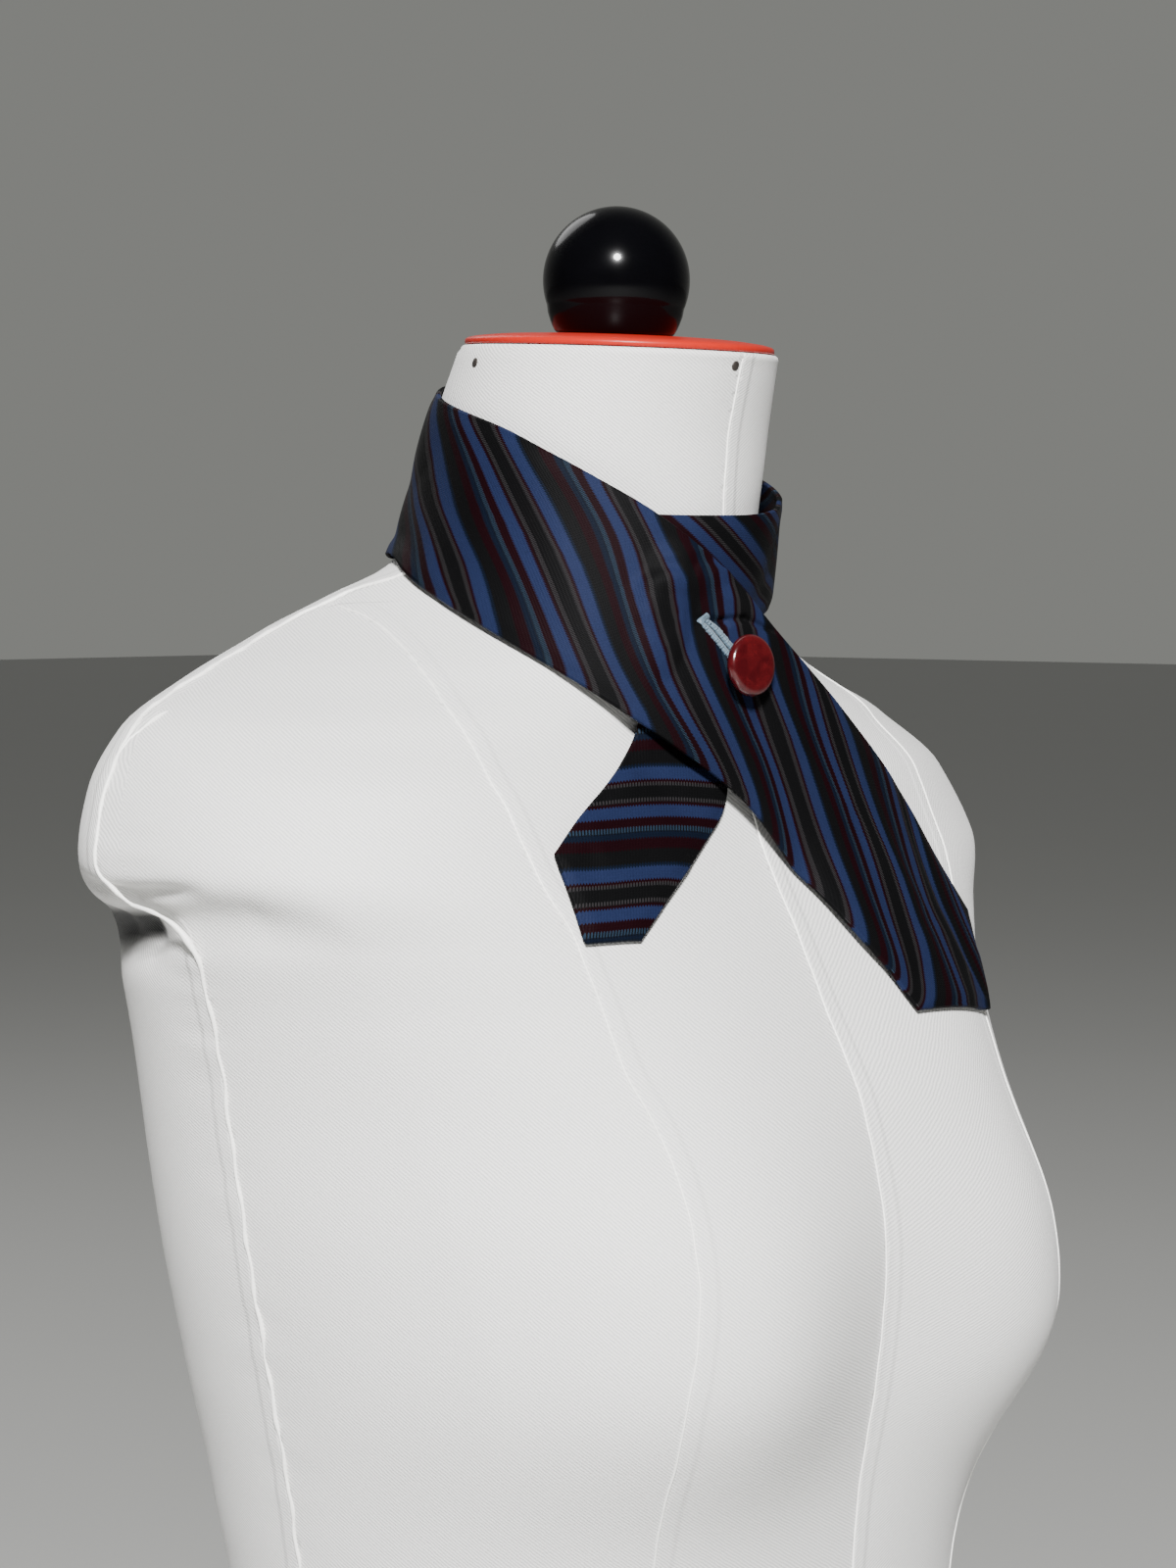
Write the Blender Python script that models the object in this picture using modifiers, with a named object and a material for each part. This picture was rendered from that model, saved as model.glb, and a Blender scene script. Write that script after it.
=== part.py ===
"""A short scarf made from a necktie, buttoned round the neck of a limbless dress form.

Sizes are in metres. +Z is up, the form faces -Y, and its left side is +X. The origin is at the middle of
the flat underside that the form stands on.
"""

import math

import bmesh
import bpy
import numpy as np
from mathutils import Matrix, Vector
from mathutils.bvhtree import BVHTree

# Heights above the form's flat underside: the neck's flat top, where its tilt begins, and the bust
CAP_HEIGHT = 0.698
TILT_FROM = 0.660
BUST_HEIGHT = 0.388

# How steeply the neck's top falls to the front, as a slope
CAP_TILT = 0.050

# Cross-sections of the form, top to bottom. half_width is the reach to each side, front and back the reach
# from the neck's axis, side_y where the widest points lie, and the two powers the roundness of each half
# (2 is an ellipse, more is squarer).
SECTION_COLUMNS = ("height", "half_width", "front", "back", "side_y", "front_power", "back_power")
SECTIONS = np.array([
    (0.700, 0.0510, 0.0740, 0.0320, -0.0185, 2.00, 2.00),
    (0.665, 0.0540, 0.0665, 0.0500, -0.0115, 2.00, 2.00),
    (0.640, 0.0520, 0.0650, 0.0575, -0.0045, 2.00, 2.00),
    (0.628, 0.0565, 0.0655, 0.0650, 0.0110, 1.90, 1.95),
    (0.618, 0.0690, 0.0650, 0.0750, 0.0390, 1.90, 1.90),
    (0.606, 0.0920, 0.0640, 0.0860, 0.0500, 1.90, 1.90),
    (0.592, 0.1265, 0.0645, 0.0925, 0.0460, 1.90, 1.90),
    (0.577, 0.1580, 0.0650, 0.0970, 0.0390, 2.20, 1.90),
    (0.558, 0.1730, 0.0735, 0.1020, 0.0345, 2.70, 1.95),
    (0.535, 0.1800, 0.0825, 0.1055, 0.0265, 2.75, 2.00),
    (0.512, 0.1690, 0.0945, 0.1080, 0.0160, 2.40, 2.10),
    (0.490, 0.1625, 0.1045, 0.1090, 0.0130, 2.10, 2.15),
    (0.455, 0.1565, 0.1195, 0.1090, 0.0110, 1.85, 2.15),
    (0.415, 0.1520, 0.1255, 0.1065, 0.0060, 1.95, 2.15),
    (0.375, 0.1450, 0.1220, 0.1025, 0.0020, 2.10, 2.15),
    (0.330, 0.1355, 0.1185, 0.0960, 0.0000, 2.00, 2.15),
    (0.280, 0.1280, 0.1185, 0.0880, 0.0000, 2.15, 2.15),
    (0.225, 0.1290, 0.1120, 0.0850, 0.0000, 2.20, 2.20),
    (0.150, 0.1370, 0.1085, 0.0980, 0.0000, 2.20, 2.20),
    (0.070, 0.1600, 0.1120, 0.1195, 0.0000, 2.20, 2.20),
    (0.000, 0.1680, 0.1060, 0.1190, 0.0000, 2.20, 2.20),
])

# Each cup of the form's bust, as a soft bump that pushes the chest forward
CUP_DEPTH = 0.036
CUP_SPACING = 0.084
CUP_WIDTH = 0.048
CUP_ABOVE = 0.068
CUP_BELOW = 0.042

# Points round the form, and its rings as (lowest height, highest height, count)
RING_STEPS = 60
RING_SPANS = ((0.0, 0.32, 11), (0.32, 0.48, 15), (0.48, 0.65, 24), (0.65, 0.695, 4))

# The rolled edge of the neck's top: each ring's share of the neck's outline and its drop below the top
NECK_ROLL = ((0.993, 0.0008), (0.972, 0.0))

# The clearance between neighbouring pieces, the cloth's wall, and the cloth's height over the form
PIECE_GAP = 0.0003
CLOTH_WALL = 0.0020
CLOTH_GAP = 0.0016
UNDER_CLEARANCE = 0.0016
OVER_CLEARANCE = 0.0017

# The lid on the neck: each row is its share of the neck's outline and its height above the rim
CAP_MIDDLE_Y = -0.0218
CAP_PROFILE = (
    (0.965, 0.0000),
    (0.972, 0.0010),
    (0.955, 0.0020),
    (0.860, 0.0032),
    (0.700, 0.0040),
    (0.500, 0.0044),
    (0.360, 0.0045),
)

# The turned ball on the lid, and its foot as (radius, height) rows from the ball down
BALL_RADIUS = 0.0242
BALL_NECK_RADIUS = 0.0226
BALL_HEIGHT = 0.0176
BALL_Y = -0.0176
BALL_FOOT = ((0.0214, 0.0040), (0.0197, 0.0006), (0.0188, 0.0), (0.0, 0.0))
BALL_ARC_STEPS = 14
BALL_STEPS = 36

# The two edges of each strip of cloth's outer face, from the seam at the nape to the free end
LONG_END_ROWS = (
    (-0.0008, 0.0425, 0.6900, -0.0008, 0.0685, 0.6315),
    (-0.0280, 0.0350, 0.6880, -0.0275, 0.0585, 0.6300),
    (-0.0500, 0.0145, 0.6815, -0.0480, 0.0350, 0.6250),
    (-0.0580, -0.0255, 0.6700, -0.0675, 0.0025, 0.6190),
    (-0.0475, -0.0495, 0.6570, -0.0700, -0.0330, 0.6050),
    (-0.0325, -0.0665, 0.6440, -0.0575, -0.0605, 0.5885),
    (-0.0135, -0.0770, 0.6280, -0.0365, -0.0775, 0.5710),
    (0.0045, -0.0845, 0.6075, -0.0125, -0.0845, 0.5540),
    (0.0340, -0.0860, 0.5835, 0.0080, -0.0915, 0.5300),
    (0.0655, -0.0860, 0.5560, 0.0230, -0.1045, 0.5095),
    (0.0855, -0.0895, 0.5280, 0.0350, -0.1120, 0.4940),
    (0.0960, -0.0940, 0.5110, 0.0395, -0.1160, 0.4850),
)
NECK_BAND_ROWS = (
    (0.0008, 0.0425, 0.6900, 0.0008, 0.0685, 0.6315),
    (0.0370, 0.0330, 0.6840, 0.0370, 0.0565, 0.6295),
    (0.0595, 0.0000, 0.6680, 0.0630, 0.0300, 0.6250),
    (0.0555, -0.0375, 0.6560, 0.0655, -0.0080, 0.6200),
    (0.0375, -0.0600, 0.6480, 0.0480, -0.0440, 0.6155),
    (0.0130, -0.0715, 0.6440, 0.0190, -0.0645, 0.6100),
    (-0.0120, -0.0700, 0.6435, -0.0140, -0.0690, 0.6065),
    (-0.0340, -0.0600, 0.6440, -0.0410, -0.0610, 0.6065),
)
SHORT_END_ROWS = (
    (-0.0300, -0.0685, 0.6275, 0.0060, -0.0740, 0.6130),
    (-0.0340, -0.0700, 0.6080, 0.0040, -0.0755, 0.5905),
    (-0.0400, -0.0685, 0.5840, -0.0055, -0.0715, 0.5680),
    (-0.0460, -0.0690, 0.5735, -0.0135, -0.0790, 0.5535),
    (-0.0630, -0.0740, 0.5615, -0.0315, -0.0850, 0.5400),
    (-0.0810, -0.0780, 0.5510, -0.0525, -0.0920, 0.5285),
    (-0.0935, -0.0800, 0.5415, -0.0735, -0.0965, 0.5145),
)

# The free ends' points: where the tip lies, its place across the strip, and where along it the point begins
LONG_TIP = (0.0895, -0.1085, 0.4805)
LONG_TIP_AT = 0.50
LONG_TIP_START = 0.82
SHORT_TIP = (-0.0930, -0.0915, 0.5145)
SHORT_TIP_AT = 0.60
SHORT_TIP_START = 0.55

# Each strip's grid of points, along and across
BAND_GRID = (34, 8)
SHORT_GRID = (20, 8)
LONG_GRID = (52, 11)

# The button as (radius, height) rows from its crown to its back, and its place on the front as (x, height),
# its height over the cloth, and its turn towards the front from the cloth's own direction
BUTTON_PLACE = (-0.0107, 0.5957)
BUTTON_LIFT = 0.0027
BUTTON_TURN = math.radians(8)
BUTTON_PROFILE = (
    (0.0, 0.0043),
    (0.0035, 0.0042),
    (0.0070, 0.0038),
    (0.0088, 0.0030),
    (0.0096, 0.0020),
    (0.0096, 0.0012),
    (0.0091, 0.0004),
    (0.0040, 0.0),
    (0.0, 0.0),
)
BUTTON_STEPS = 40

# The buttonhole, a slot that runs down to the button, and the thread that goes through it
SLOT_LENGTH = 0.0220
SLOT_WIDTH = 0.0024
SLOT_ANGLE = math.radians(50)
SLOT_DEPTH = 0.0050
SLOT_STEPS = 18
SHANK_RADIUS = 0.0008
SHANK_STEPS = 16

# Half the reach of the rays that look for a surface near the cloth
RAY_REACH = 0.05

CANVAS = (0.85, 0.84, 0.82)
LID_RED = (0.55, 0.03, 0.02)
GLOSS_BLACK = (0.008, 0.008, 0.008)
TIE_CLOTH = (0.02, 0.02, 0.035)
BUTTON_RED = (0.16, 0.008, 0.012)
THREAD = (0.05, 0.05, 0.07)


def smooth_column(heights, name):
    """The named column of SECTIONS at these heights, by a monotone cubic through its rows."""
    rows = SECTIONS[::-1]
    x = rows[:, 0]
    y = rows[:, SECTION_COLUMNS.index(name)]
    step = np.diff(x)
    slope = np.diff(y) / step
    tangent = np.zeros(len(x))
    same_way = slope[:-1] * slope[1:] > 0
    before, after = slope[:-1][same_way], slope[1:][same_way]
    tangent[1:-1][same_way] = 2 * before * after / (before + after)
    tangent[0], tangent[-1] = slope[0], slope[-1]
    z = np.clip(heights, x[0], x[-1])
    i = np.clip(np.searchsorted(x, z, side="right") - 1, 0, len(step) - 1)
    t = (z - x[i]) / step[i]
    return (
        y[i] * (1 + 2 * t) * (1 - t) ** 2
        + y[i + 1] * t * t * (3 - 2 * t)
        + step[i] * (tangent[i] * t * (1 - t) ** 2 - tangent[i + 1] * t * t * (1 - t))
    )


def cup_push(x, z):
    """How far the two cups push the chest forward at x and z."""
    across = (np.abs(x) - CUP_SPACING) / CUP_WIDTH
    up = (z - BUST_HEIGHT) / np.where(z > BUST_HEIGHT, CUP_ABOVE, CUP_BELOW)
    return CUP_DEPTH * np.exp(-(across**2 + up**2) / 2)


def form_point(turn, z):
    """The form's surface at a turn about its axis (0 is the front, a quarter turn its left) and a height."""
    turn, z = np.broadcast_arrays(np.asarray(turn, float), np.asarray(z, float))
    width, front, back, side_y, front_power, back_power = (smooth_column(z, c) for c in SECTION_COLUMNS[1:])
    side, ahead = np.sin(turn), -np.cos(turn)
    power = np.where(ahead < 0, front_power, back_power)
    x = width * np.sign(side) * np.abs(side) ** (2 / power)
    reach = np.where(ahead < 0, front + side_y, back - side_y)
    y = side_y + reach * np.sign(ahead) * np.abs(ahead) ** (2 / power)
    y = y - cup_push(x, z) * np.clip(-ahead * 2, 0, 1)
    return np.stack([x, y, z], axis=-1)


def new_object(name, mesh, colour, roughness):
    """An object with its own material, in the scarf's collection."""
    obj = bpy.data.objects.new(name, mesh)
    material = bpy.data.materials.new(name)
    material.use_nodes = True
    surface = material.node_tree.nodes["Principled BSDF"]
    surface.inputs["Base Color"].default_value = (*colour, 1)
    surface.inputs["Roughness"].default_value = roughness
    mesh.materials.append(material)
    bpy.data.collections["tie_scarf"].objects.link(obj)
    return obj


def new_collection(name):
    collection = bpy.data.collections.new(name)
    bpy.context.scene.collection.children.link(collection)


def ring_loft(name, rings):
    """A closed mesh through rings of points, lowest ring first, with flat ends."""
    rings = np.asarray(rings)
    count, steps = rings.shape[:2]
    faces = []
    for i in range(count - 1):
        for j in range(steps):
            k = (j + 1) % steps
            faces.append((i * steps + j, i * steps + k, (i + 1) * steps + k, (i + 1) * steps + j))
    faces.append(tuple(range(steps - 1, -1, -1)))
    faces.append(tuple(range((count - 1) * steps, count * steps)))
    mesh = bpy.data.meshes.new(name)
    mesh.from_pydata(rings.reshape(-1, 3).tolist(), [], faces)
    mesh.shade_smooth()
    return mesh


def neck_tilt(points):
    """Lower the front of the neck's top a little, fading out down the neck."""
    points = np.array(points)
    share = np.clip((points[..., 2] - TILT_FROM) / (CAP_HEIGHT - TILT_FROM), 0, None)
    points[..., 2] += CAP_TILT * share * (points[..., 1] - CAP_MIDDLE_Y)
    return points


def neck_ring(share, height):
    """The outline of the neck's top, drawn in to a share of its size, at a height."""
    turns = np.arange(RING_STEPS) * 2 * math.pi / RING_STEPS
    middle = np.array([0.0, CAP_MIDDLE_Y, 0.0])
    ring = middle + (form_point(turns, CAP_HEIGHT) - middle) * np.array([share, share, 0])
    ring[:, 2] = height
    return ring


def make_torso():
    """The padded form, from its flat underside to the rolled edge under the lid."""
    turns = np.arange(RING_STEPS) * 2 * math.pi / RING_STEPS
    heights = [np.linspace(low, high, count, endpoint=False) for low, high, count in RING_SPANS]
    rings = [form_point(turns, z) for z in np.concatenate(heights + [[RING_SPANS[-1][1]]])]
    rings += [neck_ring(share, CAP_HEIGHT - drop) for share, drop in NECK_ROLL]
    new_object("form_torso", ring_loft("form_torso", neck_tilt(rings)), CANVAS, 0.8)


def form_tree():
    """The form's skin as a search tree, for laying the cloth on it."""
    turns = np.arange(2 * RING_STEPS) * math.pi / RING_STEPS
    heights = np.linspace(0.43, CAP_HEIGHT, 110)
    rings = np.array([form_point(turns, z) for z in heights])
    steps = len(turns)
    faces = []
    for i in range(len(heights) - 1):
        for j in range(steps):
            k = (j + 1) % steps
            faces.append((i * steps + j, i * steps + k, (i + 1) * steps + k, (i + 1) * steps + j))
    return BVHTree.FromPolygons(rings.reshape(-1, 3).tolist(), faces)


def object_tree(obj):
    """A finished cloth piece as a search tree, for laying the next one over it."""
    graph = bpy.context.evaluated_depsgraph_get()
    return BVHTree.FromObject(obj, graph)


def along_rows(rows, count):
    """Evenly spaced cuts through a table of edge points, by a smooth curve through its rows."""
    rows = np.asarray(rows)
    middle = (rows[:, :3] + rows[:, 3:]) / 2
    length = np.concatenate([[0], np.cumsum(np.linalg.norm(np.diff(middle, axis=0), axis=1))])
    slope = np.gradient(rows, length, axis=0)
    s = np.linspace(0, length[-1], count)
    i = np.clip(np.searchsorted(length, s, side="right") - 1, 0, len(length) - 2)
    step = (length[i + 1] - length[i])[:, None]
    t = ((s - length[i]) / step[:, 0])[:, None]
    cuts = (
        rows[i] * (1 + 2 * t) * (1 - t) ** 2
        + rows[i + 1] * t * t * (3 - 2 * t)
        + step * (slope[i] * t * (1 - t) ** 2 - slope[i + 1] * t * t * (1 - t))
    )
    return cuts


def strip_points(rows, grid):
    """The outer face of a strip, straight across between its two edges."""
    cuts = along_rows(rows, grid[0])
    w = np.linspace(0, 1, grid[1])[None, :, None]
    return cuts[:, None, :3] * (1 - w) + cuts[:, None, 3:] * w


def draw_to_point(points, tip, tip_at, tip_start):
    """Draw a strip's free end out to a point, which begins at a share of its length."""
    along, across = points.shape[:2]
    w = np.linspace(0, 1, across)[None, :, None]
    foot = points[-1, 0] * (1 - tip_at) + points[-1, -1] * tip_at
    shape = np.where(w < tip_at, w / tip_at, (1 - w) / (1 - tip_at))
    share = np.clip((np.linspace(0, 1, along) - tip_start) / (1 - tip_start), 0, 1)
    return points + shape * share[:, None, None] * (np.asarray(tip) - foot)


def neighbours(field):
    """The field shifted by one cell each way, as nine layers."""
    padded = np.pad(field, 1, mode="edge")
    along, across = field.shape
    return [padded[a : a + along, b : b + across] for a in range(3) for b in range(3)]


def lay(points, tree, clearance, over=(), over_gap=CLOTH_GAP):
    """Push a cloth face out until it clears the form, and what it lies over, with no sharp steps."""
    along, across = points.shape[:2]
    for _ in range(3):
        flat = points.reshape(-1, 3)
        push = np.zeros(len(flat))
        outward = np.zeros_like(flat)
        for n, p in enumerate(flat):
            place, normal, _, _ = tree.find_nearest(Vector(p))
            outward[n] = normal
            off = (Vector(p) - place).dot(normal)
            need = clearance
            for lower in over:
                hit = lower.ray_cast(Vector(p) + normal * RAY_REACH, -normal, 2 * RAY_REACH)
                if hit[0] is not None:
                    need = max(need, (hit[0] - place).dot(normal) + CLOTH_WALL + over_gap)
            push[n] = max(0.0, need - off)
        field = push.reshape(along, across)
        if over:
            wide = np.max(neighbours(field), axis=0)
            field = np.maximum(wide, np.mean(neighbours(np.max(neighbours(wide), axis=0)), axis=0))
        points = (flat + outward * field.reshape(-1, 1)).reshape(along, across, 3)
    return points


def make_cloth(name, points):
    """A strip of cloth: a bent grid, its outer face, thickened inwards to a closed sheet."""
    along, across = points.shape[:2]
    grid = bmesh.new()
    bmesh.ops.create_grid(grid, x_segments=across - 1, y_segments=along - 1, size=1)
    for vert, place in zip(grid.verts, points.reshape(-1, 3)):
        vert.co = place
    grid.normal_update()
    outward = sum(face.normal.dot(face.calc_center_median() * Vector((1, 1, 0))) for face in grid.faces)
    if outward < 0:
        bmesh.ops.reverse_faces(grid, faces=grid.faces)
    mesh = bpy.data.meshes.new(name)
    grid.to_mesh(mesh)
    grid.free()
    mesh.shade_smooth()
    obj = new_object(name, mesh, TIE_CLOTH, 0.55)
    wall = obj.modifiers.new("wall", "SOLIDIFY")
    wall.thickness = CLOTH_WALL
    wall.offset = -1
    wall.use_even_offset = True
    bpy.context.view_layer.update()
    return obj


def make_turned(name, profile, steps, colour, roughness):
    """A round piece: a profile of (radius, height) rows, top to bottom, swept about its own axis."""
    mesh = bpy.data.meshes.new(name)
    edges = [(n, n + 1) for n in range(len(profile) - 1)]
    mesh.from_pydata([(radius, 0, height) for radius, height in profile], edges, [])
    obj = new_object(name, mesh, colour, roughness)
    sweep = obj.modifiers.new("sweep", "SCREW")
    sweep.axis = "Z"
    sweep.steps = steps
    sweep.render_steps = steps
    sweep.use_merge_vertices = True
    sweep.merge_threshold = 0.00001
    sweep.use_smooth_shade = True
    return obj


def make_cylinder(name, radius, length, steps):
    """A closed cylinder mesh along its own Z axis, about its middle."""
    round_bar = bmesh.new()
    bmesh.ops.create_cone(round_bar, cap_ends=True, segments=steps, radius1=radius, radius2=radius, depth=length)
    mesh = bpy.data.meshes.new(name)
    round_bar.to_mesh(mesh)
    round_bar.free()
    return mesh


def make_cap():
    """The painted lid on the neck, a low dome that follows the neck's own outline."""
    rings = [neck_ring(share, CAP_HEIGHT + PIECE_GAP + height) for share, height in CAP_PROFILE]
    new_object("neck_cap", ring_loft("neck_cap", neck_tilt(rings)), LID_RED, 0.35)


def make_ball():
    """The turned ball on the lid, with a short flared foot."""
    lowest = math.pi - math.asin(BALL_NECK_RADIUS / BALL_RADIUS)
    angles = [lowest * n / BALL_ARC_STEPS for n in range(BALL_ARC_STEPS + 1)]
    arc = [(BALL_RADIUS * math.sin(a), BALL_HEIGHT + BALL_RADIUS * math.cos(a)) for a in angles]
    ball = make_turned("finial_ball", arc + list(BALL_FOOT), BALL_STEPS, GLOSS_BLACK, 0.12)
    lid_top = CAP_HEIGHT + CAP_PROFILE[-1][1] + CAP_TILT * (BALL_Y - CAP_MIDDLE_Y)
    ball.location = (0, BALL_Y, lid_top + 3 * PIECE_GAP)
    ball.rotation_euler = (math.atan(CAP_TILT), 0, 0)


def button_frame(long_end):
    """Where the button sits on the long end's outer face: the point, and the turn that stands it there."""
    start = Vector((BUTTON_PLACE[0], -1, BUTTON_PLACE[1]))
    hit, normal, _, _ = object_tree(long_end).ray_cast(start, Vector((0, 1, 0)), 2)
    side = Vector((0, 0, 1)).cross(normal).normalized()
    stand = Matrix((side, normal.cross(side), normal)).transposed()
    return hit, stand.to_4x4()


def cut_buttonhole(long_end, hit, stand):
    """A long slot with round ends through the cloth, from above the button down to its middle."""
    mesh = make_cylinder("slot_cutter", SLOT_WIDTH / 2, 2 * SLOT_DEPTH, SLOT_STEPS)
    half = (SLOT_LENGTH - SLOT_WIDTH) / 2
    for vert in mesh.vertices:
        vert.co.x += math.copysign(half, vert.co.x)
    cutter = bpy.data.objects.new("slot_cutter", mesh)
    cutter.hide_render = True
    cutter.display_type = "WIRE"
    bpy.data.collections["cutters"].objects.link(cutter)
    along = Matrix.Rotation(-SLOT_ANGLE, 4, "Z") @ Matrix.Translation((SLOT_WIDTH - SLOT_LENGTH / 2, 0, 0))
    cutter.matrix_world = Matrix.Translation(hit) @ stand @ along
    cut = long_end.modifiers.new("buttonhole", "BOOLEAN")
    cut.operation = "DIFFERENCE"
    cut.solver = "EXACT"
    cut.object = cutter


def make_button(hit, stand, short_end):
    """The button over its slot, and the thread that ties it to the cloth below."""
    button = make_turned("button", BUTTON_PROFILE, BUTTON_STEPS, BUTTON_RED, 0.18)
    over_cloth = Matrix.Translation(hit) @ stand @ Matrix.Translation((0, 0, BUTTON_LIFT))
    button.matrix_world = over_cloth @ Matrix.Rotation(BUTTON_TURN, 4, "Y")
    inwards = stand @ Vector((0, 0, -1))
    below = object_tree(short_end).ray_cast(hit, inwards, RAY_REACH)[0]
    low = 2 * PIECE_GAP - (below - hit).length
    high = BUTTON_LIFT - 1.5 * PIECE_GAP
    shank = new_object("button_shank", make_cylinder("button_shank", SHANK_RADIUS, high - low, SHANK_STEPS), THREAD, 0.8)
    shank.matrix_world = Matrix.Translation(hit) @ stand @ Matrix.Translation((0, 0, (high + low) / 2))


def main():
    for obj in list(bpy.data.objects):
        bpy.data.objects.remove(obj)
    new_collection("tie_scarf")
    new_collection("cutters")
    make_torso()
    make_cap()
    make_ball()
    skin = form_tree()
    band = lay(strip_points(NECK_BAND_ROWS, BAND_GRID), skin, UNDER_CLEARANCE + CLOTH_WALL)
    neck_band = make_cloth("scarf_neck_band", band)
    short = draw_to_point(strip_points(SHORT_END_ROWS, SHORT_GRID), SHORT_TIP, SHORT_TIP_AT, SHORT_TIP_START)
    short = lay(short, skin, UNDER_CLEARANCE + CLOTH_WALL, [object_tree(neck_band)])
    short_end = make_cloth("scarf_short_end", short)
    long = draw_to_point(strip_points(LONG_END_ROWS, LONG_GRID), LONG_TIP, LONG_TIP_AT, LONG_TIP_START)
    long = lay(long, skin, OVER_CLEARANCE + CLOTH_WALL, [object_tree(neck_band), object_tree(short_end)])
    long_end = make_cloth("scarf_long_end", long)
    hit, stand = button_frame(long_end)
    cut_buttonhole(long_end, hit, stand)
    make_button(hit, stand, short_end)


main()
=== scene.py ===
import math

import bpy
import numpy as np
from mathutils import Matrix, Vector
from mathutils.bvhtree import BVHTree


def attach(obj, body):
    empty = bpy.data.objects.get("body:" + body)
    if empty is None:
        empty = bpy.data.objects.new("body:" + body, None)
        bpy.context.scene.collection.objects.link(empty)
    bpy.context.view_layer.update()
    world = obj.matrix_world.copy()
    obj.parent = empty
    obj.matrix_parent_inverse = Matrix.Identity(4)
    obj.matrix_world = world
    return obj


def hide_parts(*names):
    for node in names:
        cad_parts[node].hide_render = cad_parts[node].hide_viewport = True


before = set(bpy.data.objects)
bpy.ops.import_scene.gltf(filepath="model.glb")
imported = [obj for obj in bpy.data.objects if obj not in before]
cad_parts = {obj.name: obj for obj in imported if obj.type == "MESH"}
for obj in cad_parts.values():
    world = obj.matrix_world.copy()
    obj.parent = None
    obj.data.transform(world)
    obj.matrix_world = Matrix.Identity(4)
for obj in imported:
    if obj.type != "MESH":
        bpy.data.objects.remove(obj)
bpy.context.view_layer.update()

# ---------------------------------------------------------------- camera, studio light and floor
# The camera stands at the photograph's place, to the form's right front at shoulder height, with a long
# lens. One small round key light comes from over the camera, and a weak one from behind. The studio is pale
# behind the form and dark behind the camera, so that shadows stay deep.
camera = bpy.data.objects.new("camera", bpy.data.cameras.new("camera"))
camera.location = (-0.8776, -0.8184, 0.6250)
camera.rotation_euler = (math.radians(86.64), 0, math.radians(-47.2))
camera.data.lens = 82.33
bpy.context.scene.collection.objects.link(camera)
bpy.context.scene.camera = camera

LIGHT_AIM = Vector((0, 0, 0.45))
# Columns: name, azimuth, elevation, distance, size, power
LIGHTS = (
    ("key_light", -46, 36, 3.2, 0.55, 340),
    ("back_light", 165, 40, 3.2, 1.6, 20),
)
for name, azimuth, elevation, distance, size, power in LIGHTS:
    lamp = bpy.data.lights.new(name, "AREA")
    lamp.shape = "DISK"
    lamp.size = size
    lamp.energy = power
    light = bpy.data.objects.new(name, lamp)
    turn, rise = math.radians(azimuth), math.radians(elevation)
    towards = Vector((math.sin(turn) * math.cos(rise), -math.cos(turn) * math.cos(rise), math.sin(rise)))
    light.location = LIGHT_AIM + towards * distance
    light.rotation_euler = towards.to_track_quat("Z", "Y").to_euler()
    bpy.context.scene.collection.objects.link(light)

world = bpy.data.worlds.new("studio")
world.use_nodes = True
bpy.context.scene.world = world


def add(tree, kind, settings=(), **inputs):
    """A shader node. Settings are its own properties; an input is given a value, or linked to a socket."""
    made = tree.nodes.new("ShaderNode" + kind)
    for name, value in dict(settings).items():
        setattr(made, name, value)
    for name, value in inputs.items():
        socket = made.inputs[int(name[1:])] if name[1:].isdigit() else made.inputs[name.replace("_", " ")]
        if isinstance(value, bpy.types.NodeSocket):
            tree.links.new(value, socket)
        else:
            socket.default_value = value
    return made


def calc(tree, operation, a, b=0.0, c=0.0):
    """The result of one sum on values or sockets."""
    return add(tree, "Math", {"operation": operation}, _0=a, _1=b, _2=c).outputs[0]


def mixed(tree, share, low, high):
    """The colour between two colours, or colour sockets, at a share from 0 to 1."""
    return add(tree, "MixRGB", {"blend_type": "MIX"}, Fac=share, Color1=low, Color2=high).outputs[0]


def ranged(tree, value, low, high, to=(0.0, 1.0), kind="SMOOTHSTEP"):
    """A value taken from the range between low and high to another one, and held at its ends."""
    ends = {"From_Min": low, "From_Max": high, "To_Min": to[0], "To_Max": to[1]}
    return add(tree, "MapRange", {"interpolation_type": kind}, Value=value, **ends).outputs[0]


def noise(tree, place, scale, detail, **inputs):
    """Soft noise, from 0 to 1."""
    return add(tree, "TexNoise", Vector=place, Scale=scale, Detail=detail, **inputs).outputs[0]


def new_material(name, **values):
    """A material and its Principled shader, whose own sockets hold the values that are the same all over."""
    material = bpy.data.materials.new(name)
    material.use_nodes = True
    shader = material.node_tree.nodes["Principled BSDF"]
    for socket, value in values.items():
        shader.inputs[socket.replace("_", " ")].default_value = value
    return material, material.node_tree, shader


def new_group(name, inputs, outputs):
    """An empty node group. Inputs and outputs are (name, socket kind) pairs."""
    group = bpy.data.node_groups.new(name, "ShaderNodeTree")
    for socket, kind in inputs:
        group.interface.new_socket(socket, in_out="INPUT", socket_type="NodeSocket" + kind)
    for socket, kind in outputs:
        group.interface.new_socket(socket, in_out="OUTPUT", socket_type="NodeSocket" + kind)
    return group, group.nodes.new("NodeGroupInput").outputs, group.nodes.new("NodeGroupOutput").inputs


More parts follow.
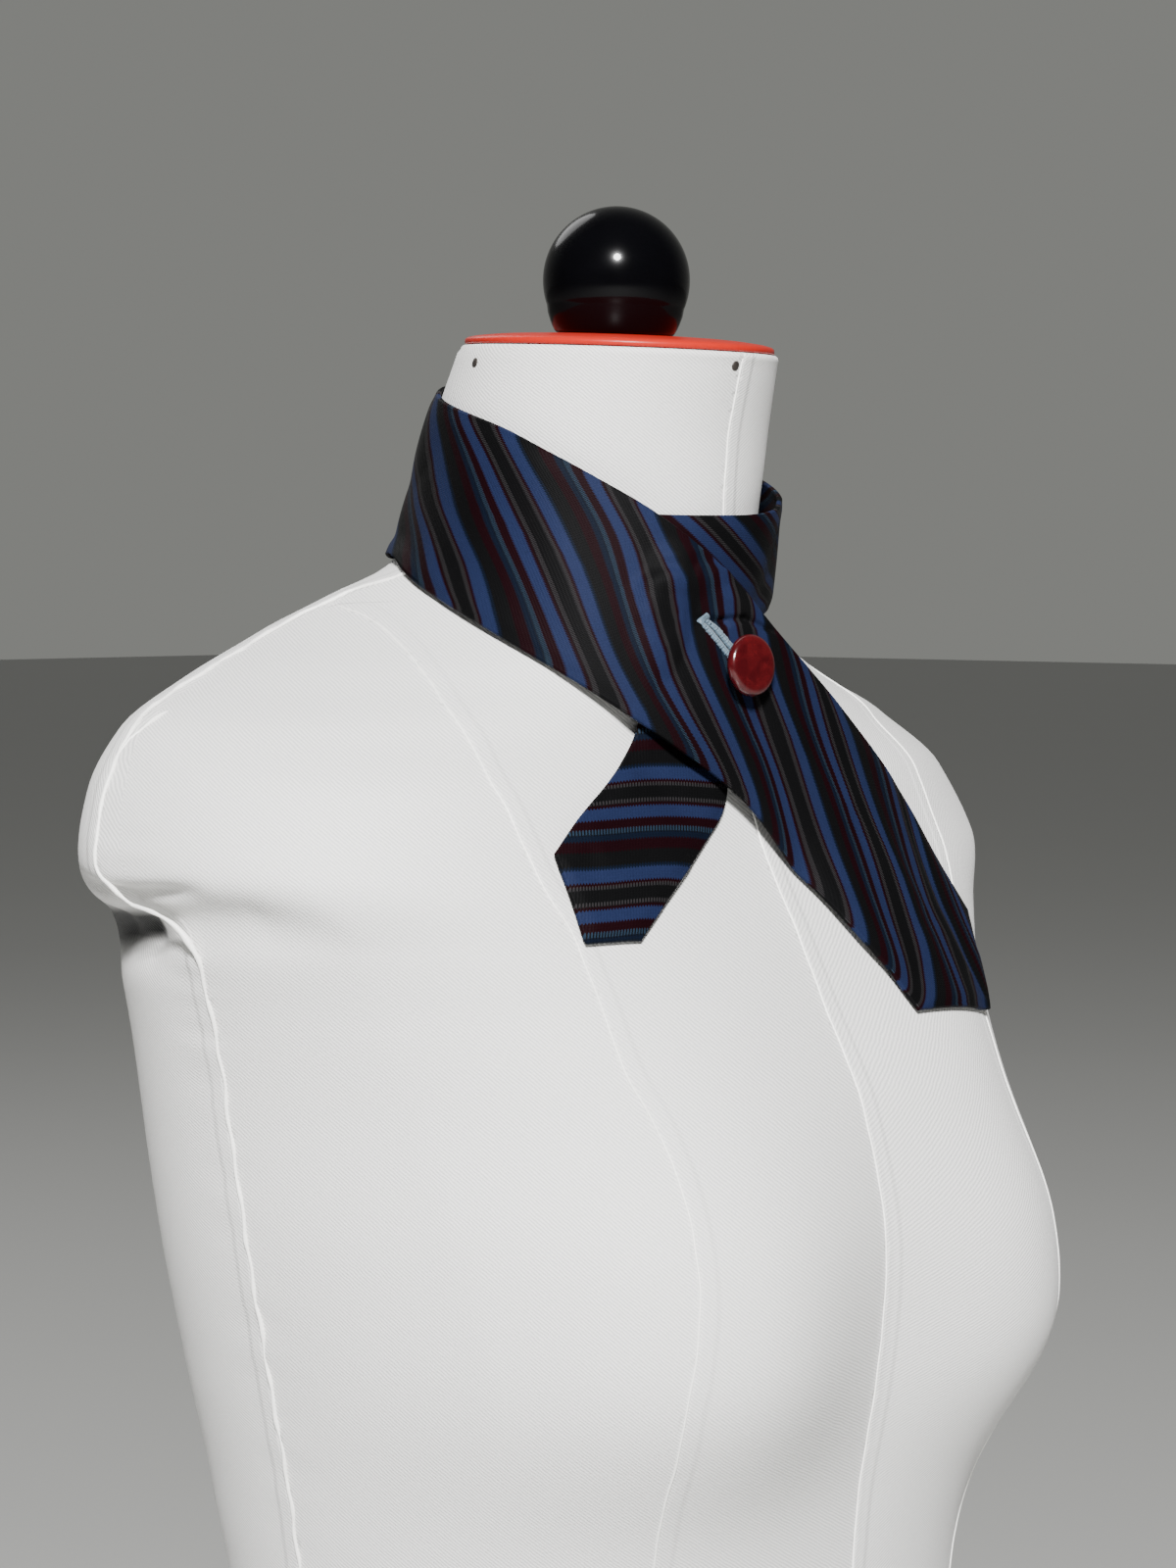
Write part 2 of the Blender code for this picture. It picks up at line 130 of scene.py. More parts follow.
# The studio's walls: how far a direction points to the wall behind the form sets how pale it is
WALL_DIRECTION, DARK_SIDE, PALE_WALL = (0.73, 0.68, 0.0), (0.045, 0.045, 0.046, 1), (0.215, 0.218, 0.205, 1)
tree = world.node_tree
looking = add(tree, "TexCoord").outputs["Generated"]
to_wall = add(tree, "VectorMath", {"operation": "DOT_PRODUCT"}, _0=looking, _1=WALL_DIRECTION).outputs["Value"]
wall = mixed(tree, ranged(tree, to_wall, 0.1, 0.8), DARK_SIDE, PALE_WALL)
tree.links.new(wall, tree.nodes["Background"].inputs["Color"])


# Uneven tone: broad soft patches and a fine grain that make a colour lighter and darker, read in metres
uneven_tone, given, put = new_group(
    "uneven_tone",
    [("Color", "Color")] + [(name, "Float") for name in ("Patch Size", "Patch Amount", "Grain Size", "Grain Amount")],
    [("Color", "Color"), ("Grain", "Float")],
)
place = add(uneven_tone, "TexCoord").outputs["Object"]
patches = noise(uneven_tone, place, calc(uneven_tone, "DIVIDE", 1.0, given["Patch Size"]), 3.0)
grain = noise(uneven_tone, place, calc(uneven_tone, "DIVIDE", 1.0, given["Grain Size"]), 2.0)
lift = calc(uneven_tone, "MULTIPLY", calc(uneven_tone, "SUBTRACT", patches, 0.5), given["Patch Amount"])
fleck = calc(uneven_tone, "MULTIPLY", calc(uneven_tone, "SUBTRACT", grain, 0.5), given["Grain Amount"])
tone = calc(uneven_tone, "ADD", calc(uneven_tone, "ADD", lift, fleck), 1.0)
toned = add(uneven_tone, "VectorMath", {"operation": "SCALE"}, _0=given["Color"], _3=tone)
uneven_tone.links.new(toned.outputs[0], put["Color"])
uneven_tone.links.new(grain, put["Grain"])


def tone_over(tree, shader, colour, patch=(0.05, 0.1), grain=(0.0008, 0.1)):
    """Puts the uneven tone between a colour, or a colour socket, and the shader, and gives back its grain."""
    made = add(tree, "Group", {"node_tree": uneven_tone}, Color=colour, Patch_Size=patch[0], Patch_Amount=patch[1],
               Grain_Size=grain[0], Grain_Amount=grain[1])
    tree.links.new(made.outputs["Color"], shader.inputs["Base Color"])
    return made.outputs["Grain"]


def bump_on(tree, shader, height, distance):
    """Raises the shader's surface by a height of 0 to 1 over a distance in metres."""
    raised = add(tree, "Bump", Height=height, Distance=distance, Strength=1.0).outputs[0]
    tree.links.new(raised, shader.inputs["Normal"])


FLOOR_SIZE = 40.0
floor_paint, tree, shader = new_material("floor_paint", Roughness=0.30)
tone_over(tree, shader, (0.45, 0.45, 0.435, 1), patch=(0.8, 0.04), grain=(0.004, 0.05))
bpy.ops.mesh.primitive_plane_add(size=FLOOR_SIZE, location=(0, 0, 0))
floor = bpy.context.object
floor.name = "floor"
floor.data.materials.append(floor_paint)

# ---------------------------------------------------------------- the dress form's canvas body
# A padded, limbless form covered in off-white cotton twill, sewn from panels that meet in corded seams.
# Its skin repeats the source's cross-sections on a finer grid, with the seams' folds and puckers added.
# Half widths, fronts, side places and front powers began as a program's fit to the photograph's outlines, rounded to
# 0.5 mm, and some were changed since: this is a fault.
# Columns: height, half width, front, back, side y, front power, back power
SECTIONS = np.array([
    (0.700, 0.0510, 0.0740, 0.0320, -0.0185, 2.00, 2.00),
    (0.665, 0.0540, 0.0665, 0.0500, -0.0115, 2.00, 2.00),
    (0.640, 0.0520, 0.0650, 0.0575, -0.0045, 2.00, 2.00),
    (0.628, 0.0565, 0.0655, 0.0650, 0.0110, 1.90, 1.95),
    (0.618, 0.0690, 0.0650, 0.0750, 0.0390, 1.90, 1.90),
    (0.606, 0.0920, 0.0640, 0.0860, 0.0500, 1.90, 1.90),
    (0.592, 0.1265, 0.0645, 0.0925, 0.0460, 1.90, 1.90),
    (0.577, 0.1580, 0.0650, 0.0970, 0.0390, 2.20, 1.90),
    (0.558, 0.1730, 0.0735, 0.1020, 0.0345, 2.70, 1.95),
    (0.535, 0.1800, 0.0825, 0.1055, 0.0265, 2.75, 2.00),
    (0.512, 0.1690, 0.0945, 0.1080, 0.0160, 2.40, 2.10),
    (0.490, 0.1625, 0.1045, 0.1090, 0.0130, 2.10, 2.15),
    (0.455, 0.1565, 0.1195, 0.1090, 0.0110, 1.85, 2.15),
    (0.415, 0.1520, 0.1255, 0.1065, 0.0060, 1.95, 2.15),
    (0.375, 0.1450, 0.1220, 0.1025, 0.0020, 2.10, 2.15),
    (0.330, 0.1355, 0.1185, 0.0960, 0.0000, 2.00, 2.15),
    (0.280, 0.1280, 0.1185, 0.0880, 0.0000, 2.15, 2.15),
    (0.225, 0.1290, 0.1120, 0.0850, 0.0000, 2.20, 2.20),
    (0.150, 0.1370, 0.1085, 0.0980, 0.0000, 2.20, 2.20),
    (0.070, 0.1600, 0.1120, 0.1195, 0.0000, 2.20, 2.20),
    (0.000, 0.1680, 0.1060, 0.1190, 0.0000, 2.20, 2.20),
])
CAP_HEIGHT, CAP_MIDDLE_Y, CAP_TILT, TILT_FROM = 0.698, -0.0218, 0.050, 0.660
BUST_HEIGHT, CUP_DEPTH, CUP_SPACING, CUP_WIDTH, CUP_ABOVE, CUP_BELOW = 0.388, 0.036, 0.084, 0.048, 0.068, 0.042
SKIN_STEPS = 240
SKIN_HEIGHTS = ((0.004, 0.48, 110), (0.48, 0.55, 44), (0.55, 0.66, 44), (0.66, 0.6955, 12))
# The rolled edges below and above: each ring's share of the outline and its height
FOOT_ROLL = ((0.940, 0.0), (0.985, 0.0), (0.996, 0.0008), (0.9995, 0.0022))
NECK_ROLL = ((0.998, 0.6966), (0.992, 0.6974), (0.982, 0.6979), (0.968, 0.6980), (0.900, 0.6980))

# The seams as (turn in degrees, height) rows: 0 is the front, and the form's right side is below 0. The side,
# princess and dart rows are places read off the photograph, turned into turns and heights by a program.
SIDE_SEAM = (
    (-92, 0.627), (-92, 0.615), (-90, 0.604), (-91, 0.594), (-93, 0.587), (-92, 0.578), (-91, 0.569),
    (-91.5, 0.557), (-93, 0.545), (-94, 0.5345), (-92.5, 0.5280), (-88.5, 0.5220), (-85.5, 0.5160),
    (-84.5, 0.5060), (-84.5, 0.495),
    (-84, 0.470), (-84.5, 0.445), (-86, 0.405), (-87, 0.370), (-87, 0.330), (-88, 0.280), (-88, 0.150), (-88, 0.004),
)
PRINCESS_SEAM = (
    (-87, 0.6150), (-73, 0.6105), (-56, 0.5990), (-44, 0.5860), (-35, 0.5730), (-28.5, 0.5525), (-26.5, 0.5325),
    (-31.5, 0.5000), (-35, 0.4690), (-35, 0.4465), (-36, 0.4190), (-37.5, 0.3935), (-38.5, 0.3750), (-38, 0.3490),
    (-36.5, 0.3250), (-35, 0.2800), (-36, 0.1500), (-38, 0.004),
)
BACK_SEAM = ((-128, 0.604), (-140, 0.580), (-145, 0.500), (-147, 0.400), (-150, 0.280), (-148, 0.150), (-146, 0.004))
SHOULDER_DART = ((-86.5, 0.5825), (-88, 0.5790), (-90, 0.5740), (-91, 0.5690))
MIDDLE_SEAM = ((0, 0.696), (0, 0.600), (0, 0.500), (0, 0.400), (0, 0.300), (0, 0.200), (0, 0.100), (0, 0.004))


def unit(vectors):
    """The same directions at length 1."""
    return vectors / np.linalg.norm(vectors, axis=-1, keepdims=True)


def run_along(points):
    """The length of a line of points up to each one."""
    return np.concatenate([[0], np.cumsum(np.linalg.norm(np.diff(points, axis=0), axis=1))])


def distances(a, b):
    """How far each point of one list lies from each of the other."""
    square = (a**2).sum(1)[:, None] + (b**2).sum(1)[None, :] - 2 * a @ b.T
    return np.sqrt(np.clip(square, 0, None))


def bell(values, middle, width):
    """A bell shape: 1 at the middle, and about a third at a width from it."""
    return np.exp(-(((values - middle) / width) ** 2))


def rising(values, start, end):
    """From 0 at the start to 1 at the end, and held beyond them. It falls where the end lies below the start."""
    return np.clip((values - start) / (end - start), 0, 1)


def curve_through(x, y, at, tangent=None):
    """A smooth curve through rows at rising x: the cubic between two rows that has each row's slope.
    Where no slopes are given, each is the harmonic mean of the two beside it, so the curve never overshoots."""
    x, at = np.asarray(x, float), np.asarray(at, float)
    y = np.asarray(y, float).reshape(len(x), -1)
    step = np.diff(x)[:, None]
    if tangent is None:
        slope = np.diff(y, axis=0) / step
        product, total = slope[:-1] * slope[1:], slope[:-1] + slope[1:]
        inner = np.where(product > 0, 2 * product / np.where(product > 0, total, 1), 0)
        tangent = np.concatenate([slope[:1], inner, slope[-1:]])
    i = np.clip(np.searchsorted(x, at, side="right") - 1, 0, len(x) - 2)
    t = ((np.clip(at, x[0], x[-1]) - x[i]) / step[i, 0])[..., None]
    return (
        y[i] * (1 + 2 * t) * (1 - t) ** 2
        + y[i + 1] * t * t * (3 - 2 * t)
        + step[i] * (tangent[i] * t * (1 - t) ** 2 - tangent[i + 1] * t * t * (1 - t))
    )


def sections_at(z):
    """The cross-sections' columns at these heights, each as its own array."""
    rows = SECTIONS[::-1]
    return np.moveaxis(curve_through(rows[:, 0], rows[:, 1:], z), -1, 0)


def cup_push(x, z):
    """How far the two cups push the chest forward: a bell shape across, and one up and down with unlike halves."""
    across = (np.abs(x) - CUP_SPACING) / CUP_WIDTH
    up = (z - BUST_HEIGHT) / np.where(z > BUST_HEIGHT, CUP_ABOVE, CUP_BELOW)
    return CUP_DEPTH * np.exp(-(across**2 + up**2) / 2)


def form_point(turn, z):
    """The form's skin: at each height a rounded oval, squarer or rounder by its power in front and behind."""
    turn, z = np.broadcast_arrays(np.asarray(turn, float), np.asarray(z, float))
    width, front, back, side_y, front_power, back_power = sections_at(z)
    side, ahead = np.sin(turn), -np.cos(turn)
    power = np.where(ahead < 0, front_power, back_power)
    reach = np.where(ahead < 0, front + side_y, back - side_y)
    x = width * np.sign(side) * np.abs(side) ** (2 / power)
    y = side_y + reach * np.sign(ahead) * np.abs(ahead) ** (2 / power)
    y = y - cup_push(x, z) * np.clip(-ahead * 2, 0, 1)
    lean = CAP_TILT * np.clip((z - TILT_FROM) / (CAP_HEIGHT - TILT_FROM), 0, None) * (y - CAP_MIDDLE_Y)
    return np.stack([x, y, z + lean], axis=-1)


def form_normal(turn, z):
    """The skin's outward direction, from its slopes round the form and up it."""
    round_it = form_point(turn + 0.004, z) - form_point(turn - 0.004, z)
    up_it = form_point(turn, z + 0.0008) - form_point(turn, z - 0.0008)
    return unit(np.cross(round_it, up_it))


def neck_ring(turns, share, height):
    """The outline of the neck's top, drawn in to a share of its size, with the top's own lean."""
    ring = form_point(turns, CAP_HEIGHT)
    y = CAP_MIDDLE_Y + (ring[:, 1] - CAP_MIDDLE_Y) * share
    return np.stack([ring[:, 0] * share, y, height + CAP_TILT * (y - CAP_MIDDLE_Y)], axis=-1)


def grid_faces(rows, columns, wrap=False):
    """The quads between the points of a grid, with each row's last point joined to its first where it wraps."""
    i = np.arange(rows - 1)[:, None] * columns
    j = np.arange(columns if wrap else columns - 1)[None, :]
    k = (j + 1) % columns
    return np.stack([i + j, i + k, i + columns + k, i + columns + j], axis=-1).reshape(-1, 4)


def closed_faces(rows, columns):
    """A tube's quads and its two flat ends."""
    last = rows * columns
    ends = [list(range(columns - 1, -1, -1)), list(range(last - columns, last))]
    return grid_faces(rows, columns, True).tolist() + ends


def corners(mesh):
    """The number of the point at each corner of each face."""
    corner = np.empty(len(mesh.loops), int)
    mesh.loops.foreach_get("vertex_index", corner)
    return corner


def new_piece(name, points, faces, material, uv=None):
    """A finished piece from an array of points, at the origin, riding on the form, with its own UV map."""
    mesh = bpy.data.meshes.new(name)
    mesh.from_pydata(np.asarray(points).reshape(-1, 3).tolist(), [], faces)
    mesh.shade_smooth()
    mesh.materials.append(material)
    if uv is not None:
        mesh.uv_layers.new(name="cloth").data.foreach_set("uv", np.asarray(uv)[corners(mesh)].ravel())
    piece = bpy.data.objects.new(name, mesh)
    bpy.context.scene.collection.objects.link(piece)
    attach(piece, "root")
    return piece


def seam_line(rows, spacing=0.002):
    """Even points along a seam, as turns in radians and heights."""
    rows = np.array(rows, float)
    count = np.arange(len(rows))
    fine = np.linspace(0, count[-1], 60 * len(rows))
    turn, z = curve_through(count, rows, fine).T
    length = run_along(form_point(np.radians(turn), z))
    at = np.interp(np.arange(0, length[-1], spacing), length, fine)
    turn, z = curve_through(count, rows, at).T
    return np.radians(turn), z


def mirrored(rows):
    """The same seam on the form's other side."""
    return tuple((-turn, z) for turn, z in rows)


def tube(path, normal, radius, sides=8):
    """A round cord along a path: circles across it, in the plane of the surface's normal and the sideways line."""
    ahead = np.gradient(path, axis=0)
    side = unit(np.cross(ahead, normal))
    up = unit(np.cross(side, ahead))
    a = np.arange(sides) * 2 * math.pi / sides
    radius = np.broadcast_to(radius, len(path))[:, None, None]
    circle = np.cos(a)[None, :, None] * up[:, None] + np.sin(a)[None, :, None] * side[:, None]
    return path[:, None] + radius * circle, closed_faces(len(path), sides)


def joined(parts):
    """Several (points, faces) meshes as one."""
    points, faces, start = [], [], 0
    for more_points, more_faces in parts:
        more_points = np.asarray(more_points).reshape(-1, 3)
        points.append(more_points)
        faces += [[n + start for n in face] for face in more_faces]
        start += len(more_points)
    return np.concatenate(points), faces


# Each seam with its cord's radius and the side that its fold lies on: 1 is towards lower turns, 0 has no fold
BACK_MIDDLE_SEAM = tuple((180, z) for _, z in MIDDLE_SEAM)
# Columns: rows, radius, fold side
PAIRED_SEAMS = (
    (SIDE_SEAM, 0.00066, 1), (SHOULDER_DART, 0.00055, 0), (PRINCESS_SEAM, 0.00038, -1), (BACK_SEAM, 0.00038, 1),
)
SEAMS = []
for rows, thick, fold_side in PAIRED_SEAMS:
    SEAMS += [(rows, thick, fold_side), (mirrored(rows), thick, -fold_side)]
SEAMS += [(MIDDLE_SEAM, 0.00038, -1), (BACK_MIDDLE_SEAM, 0.00038, 1)]

turns = np.arange(SKIN_STEPS) * 2 * math.pi / SKIN_STEPS
heights = np.concatenate([np.linspace(low, high, count, endpoint=False) for low, high, count in SKIN_HEIGHTS])
heights = np.append(heights, SKIN_HEIGHTS[-1][1])
skin = form_point(turns[None, :], heights[:, None])
skin_normal = form_normal(turns[None, :], heights[:, None])

# A deep tuck under each arm stub, where the side panel is gathered, small puckers along the side seams, and two
# broad dents: one that shades the chest beside the tuck, and a deep one behind it
TUCK_DEPTH, TUCK_WIDTH, PUCKER_DEPTH = 0.0032, 0.0030, 0.00022
# Columns: height, width, starts, full from, full to, ends, depth
DENTS = ((0.5205, 0.0085, 58, 72, 94, 104, 0.0040), (0.5125, 0.0080, 86, 96, 110, 124, 0.0085))
z = heights[:, None]
off_middle = np.abs((np.degrees(turns) + 180) % 360 - 180)[None, :]
from_side = np.abs(off_middle - 93)
tuck = bell(z, 0.5255 + 0.00035 * from_side, TUCK_WIDTH) * rising(from_side, 16, 8)
wave = np.sin(z * 410) + np.sin(z * 263 + 1.0) + 0.7 * np.sin(z * 731 + 2.0)
relief = PUCKER_DEPTH * wave * bell(off_middle, 87, 4.0) * (z < 0.60) - TUCK_DEPTH * tuck
for height, width, starts, full_from, full_to, ends, depth in DENTS:
    round_it = rising(off_middle, starts, full_from) * rising(off_middle, ends, full_to)
    relief = relief - depth * bell(z, height, width) * round_it
skin = skin + skin_normal * relief[..., None]

# Painted shade: a near-black wedge of shade painted on the canvas in the deep dent under each arm stub, thin at the
# side seam, and thin again towards the back. The photograph shows it on the form's right only, and doesn't tell
# whether it is a gap or a shadow.
PAINTED_SHADE_HEIGHT, PAINTED_SHADE_THIN, PAINTED_SHADE_BROAD = 0.5130, 0.0008, 0.0082
half_painted_shade = PAINTED_SHADE_THIN + PAINTED_SHADE_BROAD * rising(off_middle, 84, 124) * rising(off_middle, 156, 130)
painted_shade = np.clip(1.5 - np.abs(z - PAINTED_SHADE_HEIGHT) / half_painted_shade, 0, 1)
painted_shade = painted_shade * rising(off_middle, 88, 92) * rising(off_middle, 154, 142)

foot = form_point(turns, 0.0)
rolls = [foot * (share, share, 0) + (0, 0, height) for share, height in FOOT_ROLL]
rims = [neck_ring(turns, share, height) for share, height in NECK_ROLL]
skin = np.concatenate([np.array(rolls), skin, np.array(rims)])
painted_shade = np.pad(painted_shade, ((len(rolls), len(rims)), (0, 0))).reshape(-1)

# How far each point lies from the nearest seam, and how far across it on the side of the fold inside it
SEAM_REACH, SEAM_FAR = 0.012, 0.016
flat_skin = skin.reshape(-1, 3)
seam_gap = np.zeros(len(flat_skin))
seam_near = np.full(len(flat_skin), SEAM_FAR)
for rows, _, fold_side in SEAMS:
    if fold_side == 0:
        continue
    turn, z = seam_line(rows, 0.006)
    line, normal = form_point(turn, z), form_normal(turn, z)
    across = unit(np.cross(np.gradient(line, axis=0), normal))
    apart = distances(flat_skin, line)
    nearest = np.argmin(apart, axis=1)
    distance = apart[np.arange(len(nearest)), nearest]
    signed = ((flat_skin - line[nearest]) * across[nearest]).sum(1)
    closer = distance < seam_near
    seam_gap[closer] = fold_side * np.clip(signed[closer], -SEAM_REACH, SEAM_REACH)
    seam_near[closer] = distance[closer]

# Twill: fine raised lines that run down to the right at 40 degrees on each panel, with a slightly uneven yarn
TWILL_PITCH = 0.00092
# The third colour is painted shade: near-black, for the wedge under each arm stub
YARN_DARK, YARN_PALE, PAINTED_SHADE_COLOUR = (0.56, 0.557, 0.55, 1), (0.80, 0.79, 0.765, 1), (0.004, 0.004, 0.004, 1)
canvas, tree, shader = new_material(
    "canvas", Roughness=0.56, Specular_IOR_Level=0.4, Sheen_Weight=0.1, Sheen_Roughness=0.5)
cloth_uv = add(tree, "UVMap", {"uv_map": "cloth"}).outputs[0]
split = add(tree, "SeparateXYZ", Vector=cloth_uv)
wobble = noise(tree, cloth_uv, 260.0, 1.0)
run = calc(tree, "ADD", calc(tree, "MULTIPLY", split.outputs[0], 0.64), calc(tree, "MULTIPLY", split.outputs[1], 0.77))
run = calc(tree, "MULTIPLY_ADD", wobble, 0.0006, run)
twill = calc(tree, "SINE", calc(tree, "MULTIPLY", run, 2 * math.pi / TWILL_PITCH))
twill = calc(tree, "MULTIPLY_ADD", twill, 0.5, 0.5)
painted_shade_share, gap, near = (
    add(tree, "Attribute", {"attribute_name": name}).outputs["Fac"]
    for name in ("painted_shade", "seam_gap", "seam_near")
)
# The twill is darkened to near black where the painted shade lies under each arm stub
yarn = mixed(tree, painted_shade_share, mixed(tree, twill, YARN_DARK, YARN_PALE), PAINTED_SHADE_COLOUR)
grain = tone_over(tree, shader, yarn, patch=(0.07, 0.06), grain=(0.0008, 0.18))
# The fold inside each seam: a soft ridge beside the cord, and a groove under the cord itself
rise, fall = ranged(tree, gap, 0.0, 0.0014), ranged(tree, gap, 0.0046, 0.0068, (1.0, 0.0))
close = ranged(tree, near, 0.009, 0.012, (1.0, 0.0), "LINEAR")
turning = calc(tree, "MULTIPLY", calc(tree, "MULTIPLY", rise, fall), close)
beside = ranged(tree, near, 0.0004, 0.0022, (1.0, 0.0))
height = calc(tree, "ADD", calc(tree, "MULTIPLY", twill, 0.16), calc(tree, "MULTIPLY", turning, 0.85))
height = calc(tree, "MULTIPLY_ADD", beside, -0.9, height)
height = calc(tree, "MULTIPLY_ADD", grain, 0.30, height)
bump_on(tree, shader, height, 0.00040)

no_uv = np.zeros((len(flat_skin), 2))
cover = new_piece("form_cover", skin, closed_faces(len(skin), SKIN_STEPS), canvas, no_uv)
# The seams' distances and the share of painted shade under the arm stubs, kept on the points
for name, values in (("seam_gap", seam_gap), ("seam_near", seam_near), ("painted_shade", painted_shade)):
    cover.data.attributes.new(name, "FLOAT", "POINT").data.foreach_set("value", values.astype(np.float32))
# Each quarter of the form is a flat-woven panel, so its pattern is laid on from straight in front of it
corner = corners(cover.data)
sizes = np.empty(len(cover.data.polygons), int)
cover.data.polygons.foreach_get("loop_total", sizes)
owner = np.repeat(np.arange(len(sizes)), sizes)
middle = np.stack([np.bincount(owner, flat_skin[corner, axis]) for axis in (0, 1)], axis=1) / sizes[:, None]
facing_side = np.where(middle[:, 0] < 0, -1, 1)[owner]
column = np.arange(len(sizes)) % SKIN_STEPS
ahead = np.where(np.abs((column * 360 / SKIN_STEPS + 180) % 360 - 180) < 90, 1, -1)[owner]
across = math.sqrt(0.5) * (ahead * flat_skin[corner, 0] + facing_side * flat_skin[corner, 1])
uv = np.stack([-facing_side * across, flat_skin[corner, 2]], axis=1)
cover.data.uv_layers["cloth"].data.foreach_set("uv", uv.ravel())
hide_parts("form_torso")

# The seams' ivory cords: glossy cotton, thin on the front and back, and thicker and pinched on the side seams
ivory_cord, tree, shader = new_material("ivory_cord", Roughness=0.38, Sheen_Weight=0.2)
grain = tone_over(tree, shader, (0.95, 0.94, 0.90, 1), patch=(0.01, 0.06), grain=(0.0006, 0.2))
bump_on(tree, shader, grain, 0.0001)
cords = []
for rows, thick, _ in SEAMS:
    turn, z = seam_line(rows, 0.0016)
    line, normal = form_point(turn, z), form_normal(turn, z)
    step = np.arange(len(z))
    pinch = np.sin(step * 0.71) + 0.7 * np.sin(step * 0.33 + 1) + 0.6 * np.sin(step * 1.37 + 2)
    uneven = 0.17 if thick > 0.0005 else 0.05
    radius = thick * (1 + uneven * pinch) * np.clip(np.minimum(step, step[::-1]) / 3 + 0.2, 0, 1)
    shift = unit(np.cross(np.gradient(line, axis=0), normal))
    line = line + shift * (0.0024 * uneven * np.sin(step * 0.52))[:, None] + normal * 0.1 * thick
    if rows[0][1] == SIDE_SEAM[0][1]:
        # It sinks into the tuck under the arm stub, and bunches where it comes out below
        sunk = np.interp(z, (0.512, 0.519, 0.530, 0.536), (0, 1, 1, 0)) * 0.0011
        radius = radius * (1 + 0.7 * bell(z, 0.5125, 0.004))
        line = line - normal * sunk[:, None]
    cords.append(tube(line, normal, radius))
points, faces = joined(cords)
new_piece("seam_cords", points, faces, ivory_cord)

# Small dark nails that hold the canvas to the neck block, a finger's width below the rim. The first two are
# placed from the photograph, and the others are guessed.
nail_iron, tree, shader = new_material("nail_iron", Metallic=0.6, Roughness=0.5)
tone_over(tree, shader, (0.045, 0.038, 0.034, 1), patch=(0.001, 0.5))
NAILS = ((-106.2, 0.6920), (-3.0, 0.6932), (82.0, 0.6915), (176.0, 0.6900))
NAIL_HEAD = ((0.0, 0.0005), (0.0009, 0.0004), (0.0014, 0.0002), (0.0017, 0.0))


def turned(profile, middle, axis, steps):
    """A round piece: (radius, height) rows swept about an axis through a point, from the top row down."""
    axis = unit(np.asarray(axis, float))
    side = unit(np.cross(axis, (0, 0, 1) if abs(axis[2]) < 0.9 else (0, 1, 0)))
    other = np.cross(axis, side)
    rows = np.array(profile)[::-1]
    a = np.arange(steps) * 2 * math.pi / steps
    spoke = np.cos(a)[None, :, None] * side + np.sin(a)[None, :, None] * other
    radius = np.maximum(rows[:, 0], 0.00001)[:, None, None]
    return np.asarray(middle) + radius * spoke + rows[:, 1][:, None, None] * axis, closed_faces(len(rows), steps)


heads = []
for turn, z in NAILS:
    turn = math.radians(turn)
    heads.append(turned(NAIL_HEAD, form_point(turn, z), form_normal(turn, z), 14))
points, faces = joined(heads)
new_piece("neck_nails", points, faces, nail_iron)

# ---------------------------------------------------------------- the painted lid
# A low wooden dome in red satin paint, cut to the neck's own outline and set on its top.
LID_PROFILE = (
    (0.962, 0.6983), (0.9690, 0.6986), (0.9720, 0.6992), (0.9690, 0.7000), (0.955, 0.70055), (0.910, 0.70115),
    (0.860, 0.7015), (0.780, 0.7020), (0.700, 0.7023), (0.600, 0.70255), (0.500, 0.7027), (0.360, 0.7028),
)
LID_STEPS = 160
lid_paint, tree, shader = new_material(
    "lid_paint", Roughness=0.36, Specular_IOR_Level=0.16, Coat_Weight=0.04, Coat_Roughness=0.2)
grain = tone_over(tree, shader, (0.37, 0.0125, 0.0065, 1), patch=(0.03, 0.22), grain=(0.0016, 0.12))
bump_on(tree, shader, grain, 0.00005)
turns = np.arange(LID_STEPS) * 2 * math.pi / LID_STEPS
rings = [neck_ring(turns, share, height) for share, height in LID_PROFILE]
lid = new_piece("painted_lid", rings, closed_faces(len(rings), LID_STEPS), lid_paint)
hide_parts("neck_cap")

# ---------------------------------------------------------------- the lacquered ball
# A turned wooden ball in black lacquer, on a short flared foot, screwed to the lid's middle.
BALL_RADIUS, BALL_NECK_RADIUS, BALL_LIFT, BALL_Y = 0.0242, 0.0226, 0.0176, -0.0176
LID_RISE, BALL_GAP = 0.0045, 0.0009
BALL_FOOT = (
    (0.0222, 0.0064), (0.0217, 0.0050), (0.0213, 0.0038), (0.0206, 0.0022), (0.0199, 0.0009), (0.0193, 0.0002),
    (0.0186, 0.0),
)
black_lacquer, tree, shader = new_material(
    "black_lacquer", Roughness=0.16, Specular_IOR_Level=0.05, Coat_Weight=0.18, Coat_Roughness=0.05)
grain = tone_over(tree, shader, (0.0012, 0.0012, 0.0016, 1), patch=(0.01, 0.5), grain=(0.0006, 0.3))
smudge = noise(tree, add(tree, "TexCoord").outputs["Object"], 90.0, 4.0)
tree.links.new(calc(tree, "MULTIPLY_ADD", smudge, 0.14, 0.14), shader.inputs["Roughness"])
angles = np.linspace(0, math.pi - math.asin(BALL_NECK_RADIUS / BALL_RADIUS), 44)
arc = list(zip(BALL_RADIUS * np.sin(angles), BALL_LIFT + BALL_RADIUS * np.cos(angles)))
lid_top = CAP_HEIGHT + LID_RISE + CAP_TILT * (BALL_Y - CAP_MIDDLE_Y) + BALL_GAP
ball_axis = (0, -math.sin(math.atan(CAP_TILT)), math.cos(math.atan(CAP_TILT)))
points, faces = turned(arc + list(BALL_FOOT), (0, BALL_Y, lid_top), ball_axis, 96)
ball = new_piece("lacquered_ball", points, faces, black_lacquer)
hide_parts("finial_ball")
